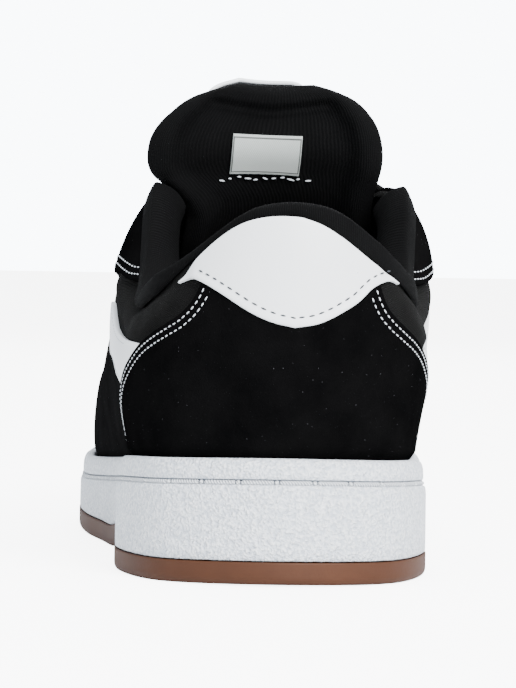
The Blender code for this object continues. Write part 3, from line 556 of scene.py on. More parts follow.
def whiteLeather():
    values = {"Specular_IOR_Level": 0.45, "Coat_Weight": 0.05, "Coat_Roughness": 0.3}
    look = Finish("whiteLeather", 0.40, **values)
    pores = look.effect(grain, Scale=2100.0, Wrinkle=0.25)
    broad = look.effect(mottle, Scale=30.0, Contrast=1.1)
    marks = look.effect(lint, Scale=150.0, Size=0.03)
    base = look.mix(broad["Value"], (0.77, 0.79, 0.81), (0.83, 0.845, 0.86))
    look.colour(marks["Mask"], base, (0.45, 0.46, 0.48))
    look.bump(pores["Height"], 0.00004, 0.6)
    look.bump(broad["Value"], 0.0006, 0.35)
    return look.mat


def ribbedKnit(name, pitch):
    look = Finish(name, 0.94, Specular_IOR_Level=0.04)
    knit = look.effect(ribs, "UV", Pitch=pitch)
    broad = look.effect(mottle, Scale=90.0, Contrast=1.4)
    base = look.mix(broad["Value"], (0.0022, 0.0022, 0.0023), (0.0052, 0.0052, 0.0054))
    look.colour(knit["Shade"], (0.0012, 0.0012, 0.0013), base)
    look.bump(knit["Height"], 0.00013, 0.8)
    look.bump(broad["Value"], 0.0006, 0.5)
    return look.mat


def wovenLace():
    look = Finish("wovenLace", 0.88, Specular_IOR_Level=0.08)
    cloth = look.effect(weave, "UV", Pitch=0.0007, Fuzz=0.4)
    look.colour(cloth["Shade"], (0.0015, 0.0015, 0.0015), (0.009, 0.009, 0.009))
    look.bump(cloth["Height"], 0.0003)
    return look.mat


def eyeletEnamel():
    look = Finish("eyeletEnamel", 0.32, Coat_Weight=0.3)
    scuffs = look.effect(mottle, Scale=900.0, Contrast=1.6)
    look.colour(scuffs["Value"], (0.008, 0.008, 0.008), (0.022, 0.022, 0.022))
    look.bump(scuffs["Value"], 0.00003)
    return look.mat


def sewingThread(name, colour):
    look = Finish(name, 0.7, Specular_IOR_Level=0.3)
    twist = look.effect(mottle, Scale=2500.0, Contrast=1.5)
    look.colour(twist["Value"], tuple(c * 0.7 for c in colour), colour)
    look.bump(twist["Value"], 0.0001)
    return look.mat


def satinLabel():            # blank label with a thin printed frame
    look = Finish("satinLabel", 0.5, Sheen_Weight=0.1)
    tree = look.tree
    cloth = look.effect(weave, "UV", Pitch=0.00025, Fuzz=0.3)
    x, y = splitAxes(tree, look.coords["UV"])
    wide, tall = markValues["labelSize"]
    fromSide = addMath(tree, "ABSOLUTE", addMath(tree, "SUBTRACT", x, wide / 2))
    fromTop = addMath(tree, "ABSOLUTE", addMath(tree, "SUBTRACT", y, tall / 2))
    fromTop = addMath(tree, "ADD", fromTop, (wide - tall) / 2)
    reach = addMath(tree, "MAXIMUM", fromSide, fromTop)
    line = wide / 2 - markValues["labelMargin"]
    printed = addMath(tree, "COMPARE", reach, line, markValues["labelLine"])
    base = look.mix(cloth["Shade"], (0.25, 0.27, 0.255), (0.37, 0.395, 0.38))
    look.colour(printed, base, (0.05, 0.055, 0.05))
    look.bump(cloth["Height"], 0.00005)
    return look.mat


def footbedFabric():
    look = Finish("footbedFabric", 0.9, Sheen_Weight=0.1)
    cloth = look.effect(weave, Pitch=0.0009, Fuzz=0.6)
    look.colour(cloth["Shade"], (0.006, 0.006, 0.006), (0.022, 0.022, 0.022))
    look.bump(cloth["Height"], 0.0002)
    return look.mat


looks = {
    "whiteRubber": whiteRubber(),
    "thread": mouldedThread(),
    "gum": gumRubber(),
    "suede": suede("blackSuede", (0.0013, 0.0013, 0.0014), (0.0036, 0.0035, 0.0036)),
    "foxing": suede("foxingSuede", (0.0045, 0.0045, 0.0046), (0.0100, 0.0098, 0.0100)),
    "textile": ankleTextile(),
    "leather": whiteLeather(),
    "knit": ribbedKnit("ribbedKnit", 0.00075),
    "tongueKnit": ribbedKnit("tongueKnit", 0.0008),
    "lace": wovenLace(),
    "enamel": eyeletEnamel(),
    "paleThread": sewingThread("paleThread", (0.62, 0.65, 0.68)),
    "greyThread": sewingThread("greyThread", (0.040, 0.044, 0.052)),
    "label": satinLabel(),
    "footbed": footbedFabric(),
}
print("materials made")


# modelling helpers
def layGrid(bm, columns, rows, place, size=(1.0, 1.0)):
    # a grid laid on the surface that place gives; its UVs are in metres
    layer = bm.loops.layers.uv.verify()
    made = bmesh.ops.create_grid(bm, x_segments=columns, y_segments=rows, size=0.5)["verts"]
    flat = np.array([v.co for v in made])
    u = flat[:, 0] + 0.5
    w = flat[:, 1] + 0.5
    read = {v: (u[i] * size[0], w[i] * size[1]) for i, v in enumerate(made)}
    for vert, spot in zip(made, place(u, w)):
        vert.co = spot
    for face in {f for v in made for f in v.link_faces}:
        for loop in face.loops:
            loop[layer].uv = read[loop.vert]
    return made


def finishPiece(name, bm, look, replaced=(), outside=None):
    bmesh.ops.remove_doubles(bm, verts=bm.verts, dist=0.000002)
    if outside is None:
        bmesh.ops.recalc_face_normals(bm, faces=bm.faces)
    else:                    # an open sheet: turned so that it looks away from that point
        turn = sum((f.calc_center_median() - Vector(outside)).dot(f.normal) * f.calc_area() for f in bm.faces)
        if turn < 0:
            bmesh.ops.reverse_faces(bm, faces=bm.faces)
    mesh = bpy.data.meshes.new(name)
    bm.to_mesh(mesh)
    bm.free()
    mesh.shade_smooth()
    mesh.materials.append(looks[look])
    piece = bpy.data.objects.new(name, mesh)
    scene.collection.objects.link(piece)
    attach(piece, "root")
    if replaced:
        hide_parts(*replaced)
    return piece


def addSheet(name, grid, place, uvSize, look, replaced=(), outside=None):
    bm = bmesh.new()
    layGrid(bm, *grid, place, uvSize)
    return finishPiece(name, bm, look, replaced, outside)


def easeEdge(index, count, span, edge=0.5 * mm):
    # spreads grid lines so that three of them round off each edge
    fromEnd = np.minimum(index, count - index)
    near = np.interp(fromEnd, (0, 1, 2, 3), (0, 0, 0.25, 1.0)) * edge / span
    inner = np.clip((index - 3) / (count - 6), 0, 1)
    middle = edge / span + inner * (1 - 2 * edge / span)
    share = np.where(index < 3, near, np.where(index > count - 3, 1 - near, middle))
    return share, np.interp(fromEnd, (0, 1, 2, 3), (-0.35, 0.45, 0.85, 1.0))


wallHigh = 70 * mm           # about, from the sole to the collar
panelHigh = 60 * mm          # about, for the overlays' UVs


def layPanel(bm, values, low, high, side=1):
    # an overlay on the upper between the edges low and high
    first, last = values["shares"]
    columns, rows = values["grid"]
    centre = values.get("centre", 0.0)

    def place(u, w):
        shareU, liftU = easeEdge(u * columns, columns, abs(last - first) * perimeter)
        at = first + (last - first) * shareU
        va = low(at - centre)
        vb = high(at - centre)
        tall = np.maximum((vb - va) * wallHigh, 2 * mm)
        shareW, liftW = easeEdge(w * rows, rows, tall)
        v = va + (vb - va) * shareW
        lift = values["seat"] + values["thick"] * np.minimum(liftU, liftW)
        fromRim = tall * shareW / mm - 1.1
        lift = lift + values.get("rim", 0.0) * np.exp(-(fromRim**2)) * ramp(tall, 3 * mm, 12 * mm)
        lift = lift * np.clip(0.12 + v / 0.05, 0, 1) * (0.45 + 0.55 * ramp(tall, 0.5 * mm, 7 * mm))
        return onUpper(at if side > 0 else 1 - at, v, lift)

    return layGrid(bm, columns, rows, place, (abs(last - first) * perimeter, panelHigh))


def alongEdge(edge, first, last, distance, side=1, centre=0.0, steps=160, lift=0.0):
    # a line on the upper at a distance inside an overlay's edge, with the way up from it
    share = np.linspace(first, last, steps)
    v = edge(share - centre)
    a = share if side > 0 else 1 - share
    spots = upperPoint(a, v)
    run = unit(np.gradient(spots, axis=0))
    up = upperNormal(a, v)
    down = np.cross(up, run)
    down *= np.sign(down[:, 2:3]) * -np.sign(distance)
    alongA = (upperPoint(a + 0.002, v) - upperPoint(a - 0.002, v)) / 0.004
    alongV = (upperPoint(a, v + 0.002) - upperPoint(a, v - 0.002)) / 0.004
    wish = down * abs(distance)
    aa, av, vv = (alongA**2).sum(1), (alongA * alongV).sum(1), (alongV**2).sum(1)
    wa, wv = (wish * alongA).sum(1), (wish * alongV).sum(1)
    det = aa * vv - av**2
    a = a + (wa * vv - wv * av) / det
    v = np.clip(v + (wv * aa - wa * av) / det, 0.0, 1.0)
    return onUpper(a, v, np.full(steps, lift)), upperNormal(a, v)


dice = random.Random(7)


def sewRow(bm, spots, ups, pitch, dash, width, jitter=0.0):
    # short rounded stitches along a line
    run = np.concatenate([[0], np.cumsum(np.linalg.norm(np.diff(spots, axis=0), axis=1))])

    def read(rows, at):
        return Vector([float(np.interp(at, run, rows[:, i])) for i in range(3)])

    for k in range(int(run[-1] / pitch)):
        at = (k + 0.5) * pitch
        here = read(spots, at)
        way = (read(spots, at + pitch / 4) - read(spots, at - pitch / 4)).normalized()
        up = read(ups, at).normalized()
        across = up.cross(way).normalized()
        way = (way + across * dice.uniform(-jitter, jitter)).normalized()
        across = up.cross(way).normalized()
        turn = Matrix((way, across, up)).transposed().to_4x4()
        size = Matrix.Diagonal((dash / 2 * dice.uniform(0.92, 1.06), width / 2, width / 2, 1))
        bmesh.ops.create_uvsphere(
            bm, u_segments=6, v_segments=4, radius=1, matrix=Matrix.Translation(here) @ turn @ size)


# cup sole: wall with its groove, rim and inner face
cupValues = {"columns": 420, "uvHigh": 50 * mm, "flank": (0.15, 0.3, 0.45, 0.6, 0.75, 0.88)}


def cupProfile(y):           # inset and height of each line of the wall, from foot to floor
    top = soleTop(y)
    foot = gumTop(y) + lastValues["gap"]
    grooveTop = top - lastValues["grooveDrop"]
    grooveFoot = grooveTop - lastValues["grooveHeight"]
    deep = lastValues["grooveDepth"] / mm
    rows = [(2.0 * mm, foot), (0.4 * mm, foot), (0.05 * mm, foot + 0.3 * mm)]
    rows += [(0.1 * mm * t, foot + t * (grooveFoot - foot)) for t in cupValues["flank"]]
    for base, steps in (         # inset and rise in mm from each base
        (grooveFoot, ((0.22, -0.9), (0.36, -0.25), (0.7, 0), (0.7 + deep, 0.25), (0.75 + deep, 0.75))),
        (grooveTop, ((0.75 + deep, -0.25), (1.05, 0), (0.85, 0.35), (0.85, 1.4))),
        (top, ((0.95, -2.4), (1.2, -1.3), (1.6, -0.55), (2.2, -0.12), (2.8, 0), (3.6, -0.1))),
        (top, ((4.1, -0.5), (4.3, -1.2), (4.3, -lastValues["cupDepth"] / mm))),
    ):
        rows += [(inward * mm, base + rise * mm) for inward, rise in steps]
    return rows


def makeCup():
    rowCount = len(cupProfile(0.0)) - 1

    def place(u, w):
        y = outline(u)[:, 1]
        rows = cupProfile(y)
        ways = np.array([np.broadcast_to(r[0], y.shape) for r in rows])
        heights = np.array([np.broadcast_to(r[1], y.shape) for r in rows])
        pick = np.round(w * rowCount).astype(int)
        each = np.arange(len(y))
        flat = inset(u, ways[pick, each])
        return np.concatenate([flat, heights[pick, each][:, None]], 1)

    bm = bmesh.new()
    layGrid(bm, cupValues["columns"], rowCount, place, (perimeter, cupValues["uvHigh"]))
    bmesh.ops.remove_doubles(bm, verts=bm.verts, dist=0.000002)
    floors = [e for e in bm.edges if e.is_boundary]
    bmesh.ops.holes_fill(bm, edges=floors, sides=0)
    finishPiece("cupsoleWall", bm, "whiteRubber", ["cupsole"])


threadValues = {
    "grid": (2100, 6), "deep": 1.55 * mm, "bulge": 0.95 * mm, "half": 0.62 * mm, "drop": 0.1 * mm,
    "uvHigh": 1.4 * mm,
}


def makeGrooveThread():      # moulded dashes that lie in the groove all the way round
    def place(u, w):
        y = outline(u)[:, 1]
        beat = (u * markValues["dashes"]) % 1.0
        edge = np.minimum(beat, 1 - beat)
        plump = 1 - 0.9 * np.exp(-(((edge - markValues["dashGap"] / 2) / 0.028) ** 2))
        turn = math.pi * w
        deep = threadValues["deep"] - threadValues["bulge"] * np.sin(turn) * plump
        tall = threadValues["half"] * np.cos(turn) * (0.35 + 0.65 * plump)
        middle = soleTop(y) - lastValues["grooveDrop"] - 0.5 * lastValues["grooveHeight"]
        middle = middle - threadValues["drop"]
        return np.concatenate([inset(u, deep), (middle + tall)[:, None]], 1)

    size = (perimeter, threadValues["uvHigh"])
    addSheet("grooveThread", threadValues["grid"], place, size, "thread", outside=(0, 0.1, 0))


gumValues = {
    "grid": (420, 20), "edge": 1.9 * mm, "sink": 0.03 * mm, "curl": 1.3 * mm, "proud": 0.12 * mm,
    "uvHigh": 10 * mm,
}


def makeGumEdge():           # finely rounded edge round the tread plate
    edge = gumValues["edge"]
    thick = lastValues["gum"]

    def place(u, w):
        y = outline(u)[:, 1]
        turn = np.radians(np.interp(w, (0, 0.4, 0.8, 1.0), (0, 0, 90, 90)))
        flat = np.interp(w, (0, 0.1, 0.8, 1.0), (1.5, 0.0, 0.0, 0.9)) * mm
        flat = flat + gumValues["curl"] * (1 - np.cos(turn)) - gumValues["proud"]
        side = thick - ramp(w, 0.08, 0.4) * (thick - edge)
        high = np.where(w < 0.4, side, edge - (edge + gumValues["sink"]) * np.sin(turn))
        return np.concatenate([inset(u, flat), (spring(y) + arch(y) + high)[:, None]], 1)

    size = (perimeter, gumValues["uvHigh"])
    addSheet("gumEdge", gumValues["grid"], place, size, "gum", outside=(0, 0.1, 0.01))


makeCup()
makeGrooveThread()
makeGumEdge()
print("sole made")

# upper: one hollow wall with its padded ankles
upperValues = {
    "columns": 420, "rows": 84, "turnAt": 50, "turnRows": 5, "edgeRoll": 0.4 * mm, "uvHigh": 150 * mm,
}


def makeUpperWall():
    rows = upperValues["rows"]
    turnAt = upperValues["turnAt"]
    endAt = turnAt + upperValues["turnRows"]

    def place(u, w):
        q = w * rows
        v = np.interp(q, (0, 1, turnAt, endAt, rows - 1, rows), (0, 0, 1, 1, 0, 0))
        depth = np.interp(q, (0, turnAt, endAt, rows), (0, 0, -wall, -wall))
        over = np.sin(np.clip((q - turnAt) / (endAt - turnAt), 0, 1) * math.pi) * upperValues["edgeRoll"]
        spots = upperOffset(u, v, depth + np.where(q < turnAt, puff(u, v), 0))
        spots[:, 2] += over
        foot = soleTop(outline(u)[:, 1]) - lastValues["cupDepth"] + lastValues["gap"]
        spots[:, 2] = np.where((q < 0.5) | (q > rows - 0.5), foot, spots[:, 2])
        return spots

    size = (perimeter, upperValues["uvHigh"])
    addSheet("upperWall", (upperValues["columns"], rows), place, size, "textile", ["upper"])


makeUpperWall()
print("upper made")

# overlays
backCentre = -0.003
counterEnd = ((0.102, 0.495), (0.110, 0.395), (0.117, 0.280), (0.123, 0.150), (0.127, 0.050))
counterOuter = (
    (0.000, 0.590), (0.010, 0.615), (0.018, 0.655), (0.027, 0.725), (0.034, 0.792), (0.040, 0.850),
    (0.0428, 0.860), (0.0448, 0.800), (0.0475, 0.757), (0.052, 0.722), (0.060, 0.699), (0.070, 0.680),
    (0.082, 0.645), (0.092, 0.585),
) + counterEnd
counterInner = (
    (0.000, 0.590), (0.010, 0.620), (0.018, 0.668), (0.026, 0.750), (0.032, 0.836), (0.0355, 0.866),
    (0.0378, 0.802), (0.0405, 0.757), (0.0455, 0.722), (0.053, 0.698), (0.066, 0.675), (0.079, 0.640),
    (0.091, 0.580),
) + counterEnd
tabOuter = (               # lower and upper edge of the tab, from the heel's middle to its tip
    (0.000, 0.530, 0.983), (0.010, 0.555, 0.988), (0.018, 0.596, 0.991), (0.027, 0.665, 0.993),
    (0.034, 0.735, 0.993), (0.040, 0.800, 0.989), (0.046, 0.858, 0.978), (0.050, 0.888, 0.965),
    (0.0545, 0.903, 0.943), (0.0575, 0.909, 0.927), (0.0605, 0.912, 0.915),
)
tabInner = (
    (0.000, 0.530, 0.983), (0.010, 0.556, 0.962), (0.0175, 0.605, 0.940), (0.026, 0.692, 0.920),
    (0.032, 0.785, 0.913), (0.0395, 0.862, 0.916), (0.0455, 0.900, 0.922), (0.052, 0.915, 0.920),
)
wedgeTable = (           # heights as shares of the collar's; its back lies under the counter
    (0.088, 0.500, 0.636), (0.096, 0.500, 0.637), (0.107, 0.510, 0.638), (0.113, 0.517, 0.638),
    (0.125, 0.524, 0.639), (0.142, 0.534, 0.643), (0.157, 0.544, 0.650), (0.170, 0.554, 0.668),
    (0.180, 0.562, 0.698), (0.188, 0.570, 0.724), (0.200, 0.580, 0.735),
)
eyestayTable = (
    (0.152, 0.955), (0.160, 0.900), (0.168, 0.830), (0.180, 0.750), (0.200, 0.690),
    (0.240, 0.665), (0.290, 0.670), (0.340, 0.700), (0.390, 0.770), (0.425, 0.850),
)
toeTable = ((0.390, 0.060), (0.410, 0.260), (0.440, 0.400), (0.470, 0.460), (0.500, 0.480))
foxingTable = (            # a low suede skin along the sides above the sole
    (0.100, 0.50), (0.130, 0.52), (0.170, 0.50), (0.220, 0.42), (0.290, 0.32), (0.350, 0.26),
    (0.400, 0.20),
)


def edgeTrack(table, column=1):
    track = smoothTrack([r[0] for r in table], [r[column] for r in table])
    return lambda share: track(np.abs(share))


def levelEdge(height):
    return lambda share: np.full(np.shape(share), height)


def sidedEdge(outer, inner, column=1):
    outerTrack, innerTrack = edgeTrack(outer, column), edgeTrack(inner, column)
    return lambda share: np.where(share > 0, outerTrack(share), innerTrack(share))


counterTop = sidedEdge(counterOuter, counterInner)
tabLow = sidedEdge(tabOuter, tabInner)
tabHigh = sidedEdge(tabOuter, tabInner, 2)


def byHeight(table, column):  # turns heights above the ground into shares of the wall's height
    track = edgeTrack(table, column)
    shares = np.linspace(table[0][0], table[-1][0], 60)
    ladder = np.linspace(0, 1, 101)
    walls = upperPoint(backCentre + shares[:, None], ladder[None, :])[..., 2]
    rows = [np.interp(z * collarHigh, walls[i], ladder) for i, z in enumerate(track(shares))]
    edge = smoothTrack(shares, rows)
    return lambda share: edge(np.abs(share))


wedgeLow = byHeight(wedgeTable, 1)
wedgeHigh = byHeight(wedgeTable, 2)
eyestayLow = edgeTrack(eyestayTable)
toeTop = smoothTrack([r[0] for r in toeTable] + [1 - r[0] for r in toeTable[-2::-1]],
                     [r[1] for r in toeTable] + [r[1] for r in toeTable[-2::-1]])
foxingTop = edgeTrack(foxingTable)

counterValues = {"shares": (backCentre - 0.127, backCentre + 0.127), "centre": backCentre,
                 "grid": (170, 44), "seat": 0.3 * mm, "thick": 1.3 * mm}
tabValues = {"shares": (backCentre - 0.052, backCentre + 0.0605), "centre": backCentre,
             "grid": (110, 40), "seat": 0.7 * mm, "thick": 1.3 * mm, "rim": 0.3 * mm}
wedgeValues = {"shares": (0.088, 0.200), "grid": (72, 24), "seat": 0.3 * mm, "thick": 0.9 * mm}
eyestayValues = {"shares": (0.152, 0.425), "grid": (180, 34), "seat": 0.5 * mm, "thick": 1.4 * mm}
toeValues = {"shares": (0.390, 0.610), "grid": (150, 40), "seat": 0.3 * mm, "thick": 1.3 * mm}
foxingValues = {"shares": (0.100, 0.400), "grid": (170, 26), "seat": 0.0, "thick": 0.55 * mm}


def addPanel(name, values, edges, look, replaced, side=1, inside=(0, 0.08, 0.03)):
    bm = bmesh.new()
    layPanel(bm, values, *edges, side)
    finishPiece(name, bm, look, replaced, outside=inside)


ground = levelEdge(0.0)
heelInside = (0, 0.02, 0.04)
toeInside = (0, 0.1, 0.04)
addPanel("heelCounter", counterValues, (ground, counterTop), "suede", ["heel_counter"],
         inside=heelInside)
addPanel("heelTab", tabValues, (tabLow, tabHigh), "leather", ["heel_tab"], inside=heelInside)
addPanel("toeCap", toeValues, (ground, toeTop), "suede", ["toe_cap"], inside=toeInside)
for word, side in (("outer", 1), ("inner", -1)):
    shares = tuple(backCentre + side * share for share in wedgeValues["shares"])
    addPanel(word + "SidePanel", dict(wedgeValues, shares=shares, centre=backCentre),
             (wedgeLow, wedgeHigh), "leather", [word + "_side_panel"])
    addPanel(word + "Eyestay", eyestayValues, (eyestayLow, levelEdge(1.0)), "suede",
             [word + "_eyestay"], side)
    addPanel(word + "Foxing", foxingValues, (ground, foxingTop), "foxing", (), side)
print("overlays made")

# collar: a padded, ribbed roll from eyestay to eyestay
collarValues = {
    "end": 0.203, "endRound": 0.012, "columns": 300, "rows": 40, "uvSize": (290 * mm, 60 * mm),
    "full": 8.5 * mm, "roll": 3.2 * mm, "lip": 2.4 * mm, "lump": 0.35 * mm, "lumpSize": 11 * mm,
}


def collarLoop(a, share):    # control points round the roll at one place
    size = collarValues
    ease = 1 - 0.25 * np.abs(share / size["end"]) ** 3
    side = ramp(np.abs(share), 0.050, 0.085)
    depth = wall + 0.3 * mm
    full = size["full"] * ease
    out = size["lip"] * side
    peak = topEdge(a)
    upWay = unit(upperPoint(a, 1.0) - upperPoint(a, 0.97))
    normal = upperNormal(a, 1.0)

    def crown(up, outBy):
        return peak + upWay * up + normal * (outBy * np.ones(np.shape(a)))[..., None]

    def rowAt(v, outBy):
        return upperOffset(a, np.full(np.shape(a), v), outBy * np.ones(np.shape(a)))

    inner = ramp(-share, 0.0, 0.022) * (1 - ramp(-share, 0.055, 0.085))
    lipV = 0.99 - 0.05 * side - 0.055 * inner
    points = [
        rowAt(0.52, -depth), rowAt(0.70, -depth), rowAt(0.88, -depth),
        crown(0.1 * mm, -depth), crown(0.5 * mm, 0.2 * mm),
        upperOffset(a, lipV, 0.5 * mm + puff(a, lipV)),
        upperOffset(a, lipV + 0.004, 0.9 * mm + 0.55 * out + puff(a, lipV)),
        crown(0.4 * mm, 1.3 * mm + out), crown(0.6 * size["roll"], 1.0 * mm + 0.75 * out),
        crown(size["roll"], -0.15 * full), crown(size["roll"], -(depth + 0.30 * full)),
        crown(0.55 * size["roll"], -(depth + 0.80 * full)),
        rowAt(0.94, -(depth + 1.02 * full)), rowAt(0.82, -(depth + 1.0 * full)),
        rowAt(0.68, -(depth + 0.72 * full)), rowAt(0.56, -(depth + 0.25 * full)),
    ]
    return np.stack(points, 1)


def makeCollar():
    end, endRound = collarValues["end"], collarValues["endRound"]

    def place(u, w):
        share = -end + 2 * end * u
        loops = collarLoop(share % 1.0, share)
        knots = np.arange(loops.shape[1]) / loops.shape[1]
        nearEnd = np.maximum(np.abs(share) - (end - endRound), 0) / endRound
        close = np.sqrt(np.clip(1 - nearEnd**2, 0, 1))
        middle = loops.mean(1)
        track = smoothTrack(knots, np.moveaxis(loops, 1, 0).reshape(len(knots), -1), wrap=True)
        fine = track(np.linspace(0, 1, collarValues["rows"] + 1)).reshape(-1, len(u), 3)
        pick = np.round(w * collarValues["rows"]).astype(int)
        spots = fine[pick, np.arange(len(u))]
        spots = middle + (spots - middle) * close[:, None]
        lumps = ripple(spots, collarValues["lumpSize"], 3.0)[:, None]
        outWay = spots - middle
        outWay /= np.maximum(np.linalg.norm(outWay, axis=1, keepdims=True), 1e-6)
        return spots + outWay * lumps * collarValues["lump"] * close[:, None]

    grid = (collarValues["columns"], collarValues["rows"])
    size = collarValues["uvSize"]
    piece = addSheet("collarPad", grid, place, size, "knit", ["collar_pad"])


makeCollar()
print("collar made")

# tongue: padded, with a fat rim round a recessed middle
tongueValues = {
    "height": 129.2 * mm, "width": 64.5 * mm, "thick": 10 * mm, "grid": (96, 150),
    "rim": 7.6 * mm, "rimSwell": 2.0 * mm, "recess": 3.2 * mm, "seam": 1.5 * mm,
    "lump": 0.5 * mm, "lumpSize": 16 * mm, "uvSize": (130 * mm, 160 * mm),
}
tongueRows = (             # way along, height, half width, bow, shift to the side, thickness
    (0.705, 0.448, 0.26, 0.05, 0.000, 0.35), (0.650, 0.500, 0.30, 0.10, 0.000, 0.45),
    (0.570, 0.566, 0.36, 0.18, 0.000, 0.60), (0.480, 0.640, 0.41, 0.23, 0.000, 0.75),
    (0.414, 0.708, 0.42, 0.20, 0.030, 0.80), (0.386, 0.768, 0.40, 0.13, 0.035, 0.95),
    (0.373, 0.826, 0.48, 0.12, -0.018, 1.10), (0.366, 0.872, 0.50, 0.12, -0.025, 1.25),
    (0.369, 0.930, 0.425, 0.10, -0.005, 1.20), (0.374, 0.973, 0.30, 0.07, 0.010, 0.90),
    (0.377, 1.000, 0.16, 0.04, 0.020, 0.45),
)
tongueTrack = smoothTrack(np.linspace(0, 1, len(tongueRows)), tongueRows)


def tongueFrame(s):
    row = tongueTrack(s)
    step = tongueTrack(np.minimum(s + 0.01, 1)) - tongueTrack(np.maximum(s - 0.01, 0))
    way = unit(np.stack([step[..., 0] * length, step[..., 1] * tongueValues["height"]], -1))
    sideways = row[..., 4] * tongueValues["width"]
    centre = np.stack([sideways, along(row[..., 0]), row[..., 1] * tongueValues["height"]], -1)
    front = np.stack([0 * s, way[..., 1], -way[..., 0]], -1)
    return centre, front, row


def tongueRelief(x, z, half):  # the back's form: fat rim, seam line and sunk middle
    fromSide = half - np.abs(x)
    fromTop = tongueValues["height"] - z + 0.10 * np.abs(x)
    edge = np.minimum(fromSide, fromTop)
    rim = tongueValues["rim"]
    swellOut = tongueValues["rimSwell"] * np.exp(-(((edge - 0.55 * rim) / (0.42 * rim)) ** 2))
    sink = tongueValues["recess"] * ramp(edge, rim - 0.8 * mm, rim + 2.5 * mm)
    seam = tongueValues["seam"] * np.exp(-(((edge - rim - 0.3 * mm) / (0.7 * mm)) ** 2))
    high = ramp(z, 82 * mm, 96 * mm)
    return (swellOut - sink - seam) * high


def tongueSpot(s, acrossShare, out, lift=0.0):
    centre, front, row = tongueFrame(s)
    half = row[..., 2] * tongueValues["width"]
    bow = row[..., 3] * tongueValues["width"]
    thick = row[..., 5] * tongueValues["thick"] / 2
    roundOff = np.sqrt(np.clip(1 - np.abs(acrossShare) ** 4, 0, 1))
    close = np.sqrt(np.clip(1 - (np.maximum(np.abs(s - 0.5) - 0.46, 0) / 0.04) ** 2, 0, 1))
    x = acrossShare * half
    behind = np.clip(-out, 0, 1)
    relief = tongueRelief(x, centre[..., 2], half) * behind
    deep = (thick * out - relief) * roundOff * close - bow * acrossShare**2 + np.sign(out) * lift
    side = np.stack([x, 0 * x, 0 * x], -1)
    return centre + side + front * deep[..., None]


def makeTongue():
    def place(u, w):
        turn = math.tau * u
        spots = tongueSpot(w, np.cos(turn), np.sign(np.sin(turn)) * np.ones(len(u)))
        lumps = ripple(spots, tongueValues["lumpSize"], 9.0)
        spots[:, 1] += tongueValues["lump"] * lumps * np.abs(np.sin(turn))
        return spots

    grid, size = tongueValues["grid"], tongueValues["uvSize"]
    piece = addSheet("tonguePad", grid, place, size, "tongueKnit", ["tongue"])


upperShares = np.linspace(0.4, 1, 121)
upperHeights = tongueTrack(upperShares)[:, 1] * tongueValues["height"]


def tongueShares(x, z):      # where x and z lie up the tongue and across it
    s = np.interp(z, upperHeights, upperShares)
    row = tongueTrack(s)
    return s, (x - row[..., 4] * tongueValues["width"]) / (row[..., 2] * tongueValues["width"])


def onTongueBack(x, z, lift):
    s, across = tongueShares(x, z)
    return tongueSpot(s, across, -np.ones(np.shape(s)), lift)


labelValues = {
    "middle": (-1.3 * mm, 110.5 * mm), "lean": (0.09, 0.02), "grid": (40, 26), "thick": 0.9 * mm,
    "stitches": 11, "firstStitch": -13.2 * mm, "step": 2.35 * mm, "stitchHeight": 104.6 * mm,
    "stitchSeat": 0.45 * mm, "stitchWidth": 0.55 * mm,
}


def makeLabel():
    wide, tall = markValues["labelSize"]
    columns, rows = labelValues["grid"]

    def place(u, w):
        shareU, liftU = easeEdge(u * columns, columns, wide, 0.2 * mm)
        shareW, liftW = easeEdge(w * rows, rows, tall, 0.2 * mm)
        x = labelValues["middle"][0] + wide * (shareU - 0.5)
        z = labelValues["middle"][1] + tall * (shareW - 0.5)
        x = x + labelValues["lean"][0] * (z - labelValues["middle"][1])
        z = z - labelValues["lean"][1] * (x - labelValues["middle"][0])
        return onTongueBack(x, z, labelValues["thick"] * np.minimum(liftU, liftW))

    addSheet("blankLabel", (columns, rows), place, (wide, tall), "label", outside=(0, 0.3, 0.1))


def sewLabel():              # uneven hand stitches under the label
    bm = bmesh.new()
    for k in range(labelValues["stitches"]):
        x = labelValues["firstStitch"] + k * labelValues["step"] + dice.uniform(-0.3, 0.3) * mm
        z = labelValues["stitchHeight"] + dice.uniform(-0.5, 0.7) * mm
        half = dice.uniform(0.5, 1.1) * mm
        rise = dice.uniform(-0.25, 0.35)
        xs = np.linspace(x - half, x + half, 6)
        zs = z + (xs - x) * rise
        spots = onTongueBack(xs, zs, labelValues["stitchSeat"])
        ups = np.tile((0.0, -1.0, 0.0), (6, 1))
        sewRow(bm, spots, ups, 1.98 * half, 2.2 * half, labelValues["stitchWidth"], 0.2)
    finishPiece("labelStitches", bm, "paleThread")


patchValues = {
    "width": 26.5 * mm, "height": 20 * mm, "rise": 1.6 * mm, "side": -4.5 * mm, "grid": (44, 30),
    "seat": 0.4 * mm, "lift": 1.3 * mm, "thick": 1.0 * mm,
}


def tongueTop(x):            # height of the tongue's outline at places across it
    rows = tongueTrack(np.linspace(0.7, 1, 121))
    middle = rows[-1, 4] * tongueValues["width"]
    found = np.empty(len(x))
    for side in (-1, 1):
        reach = side * (rows[:, 4] + side * rows[:, 2]) * tongueValues["width"]
        read = np.interp(side * x, reach[::-1], (rows[:, 1] * tongueValues["height"])[::-1])
        found = np.where(side * (x - middle) >= 0, read, found)
    return found


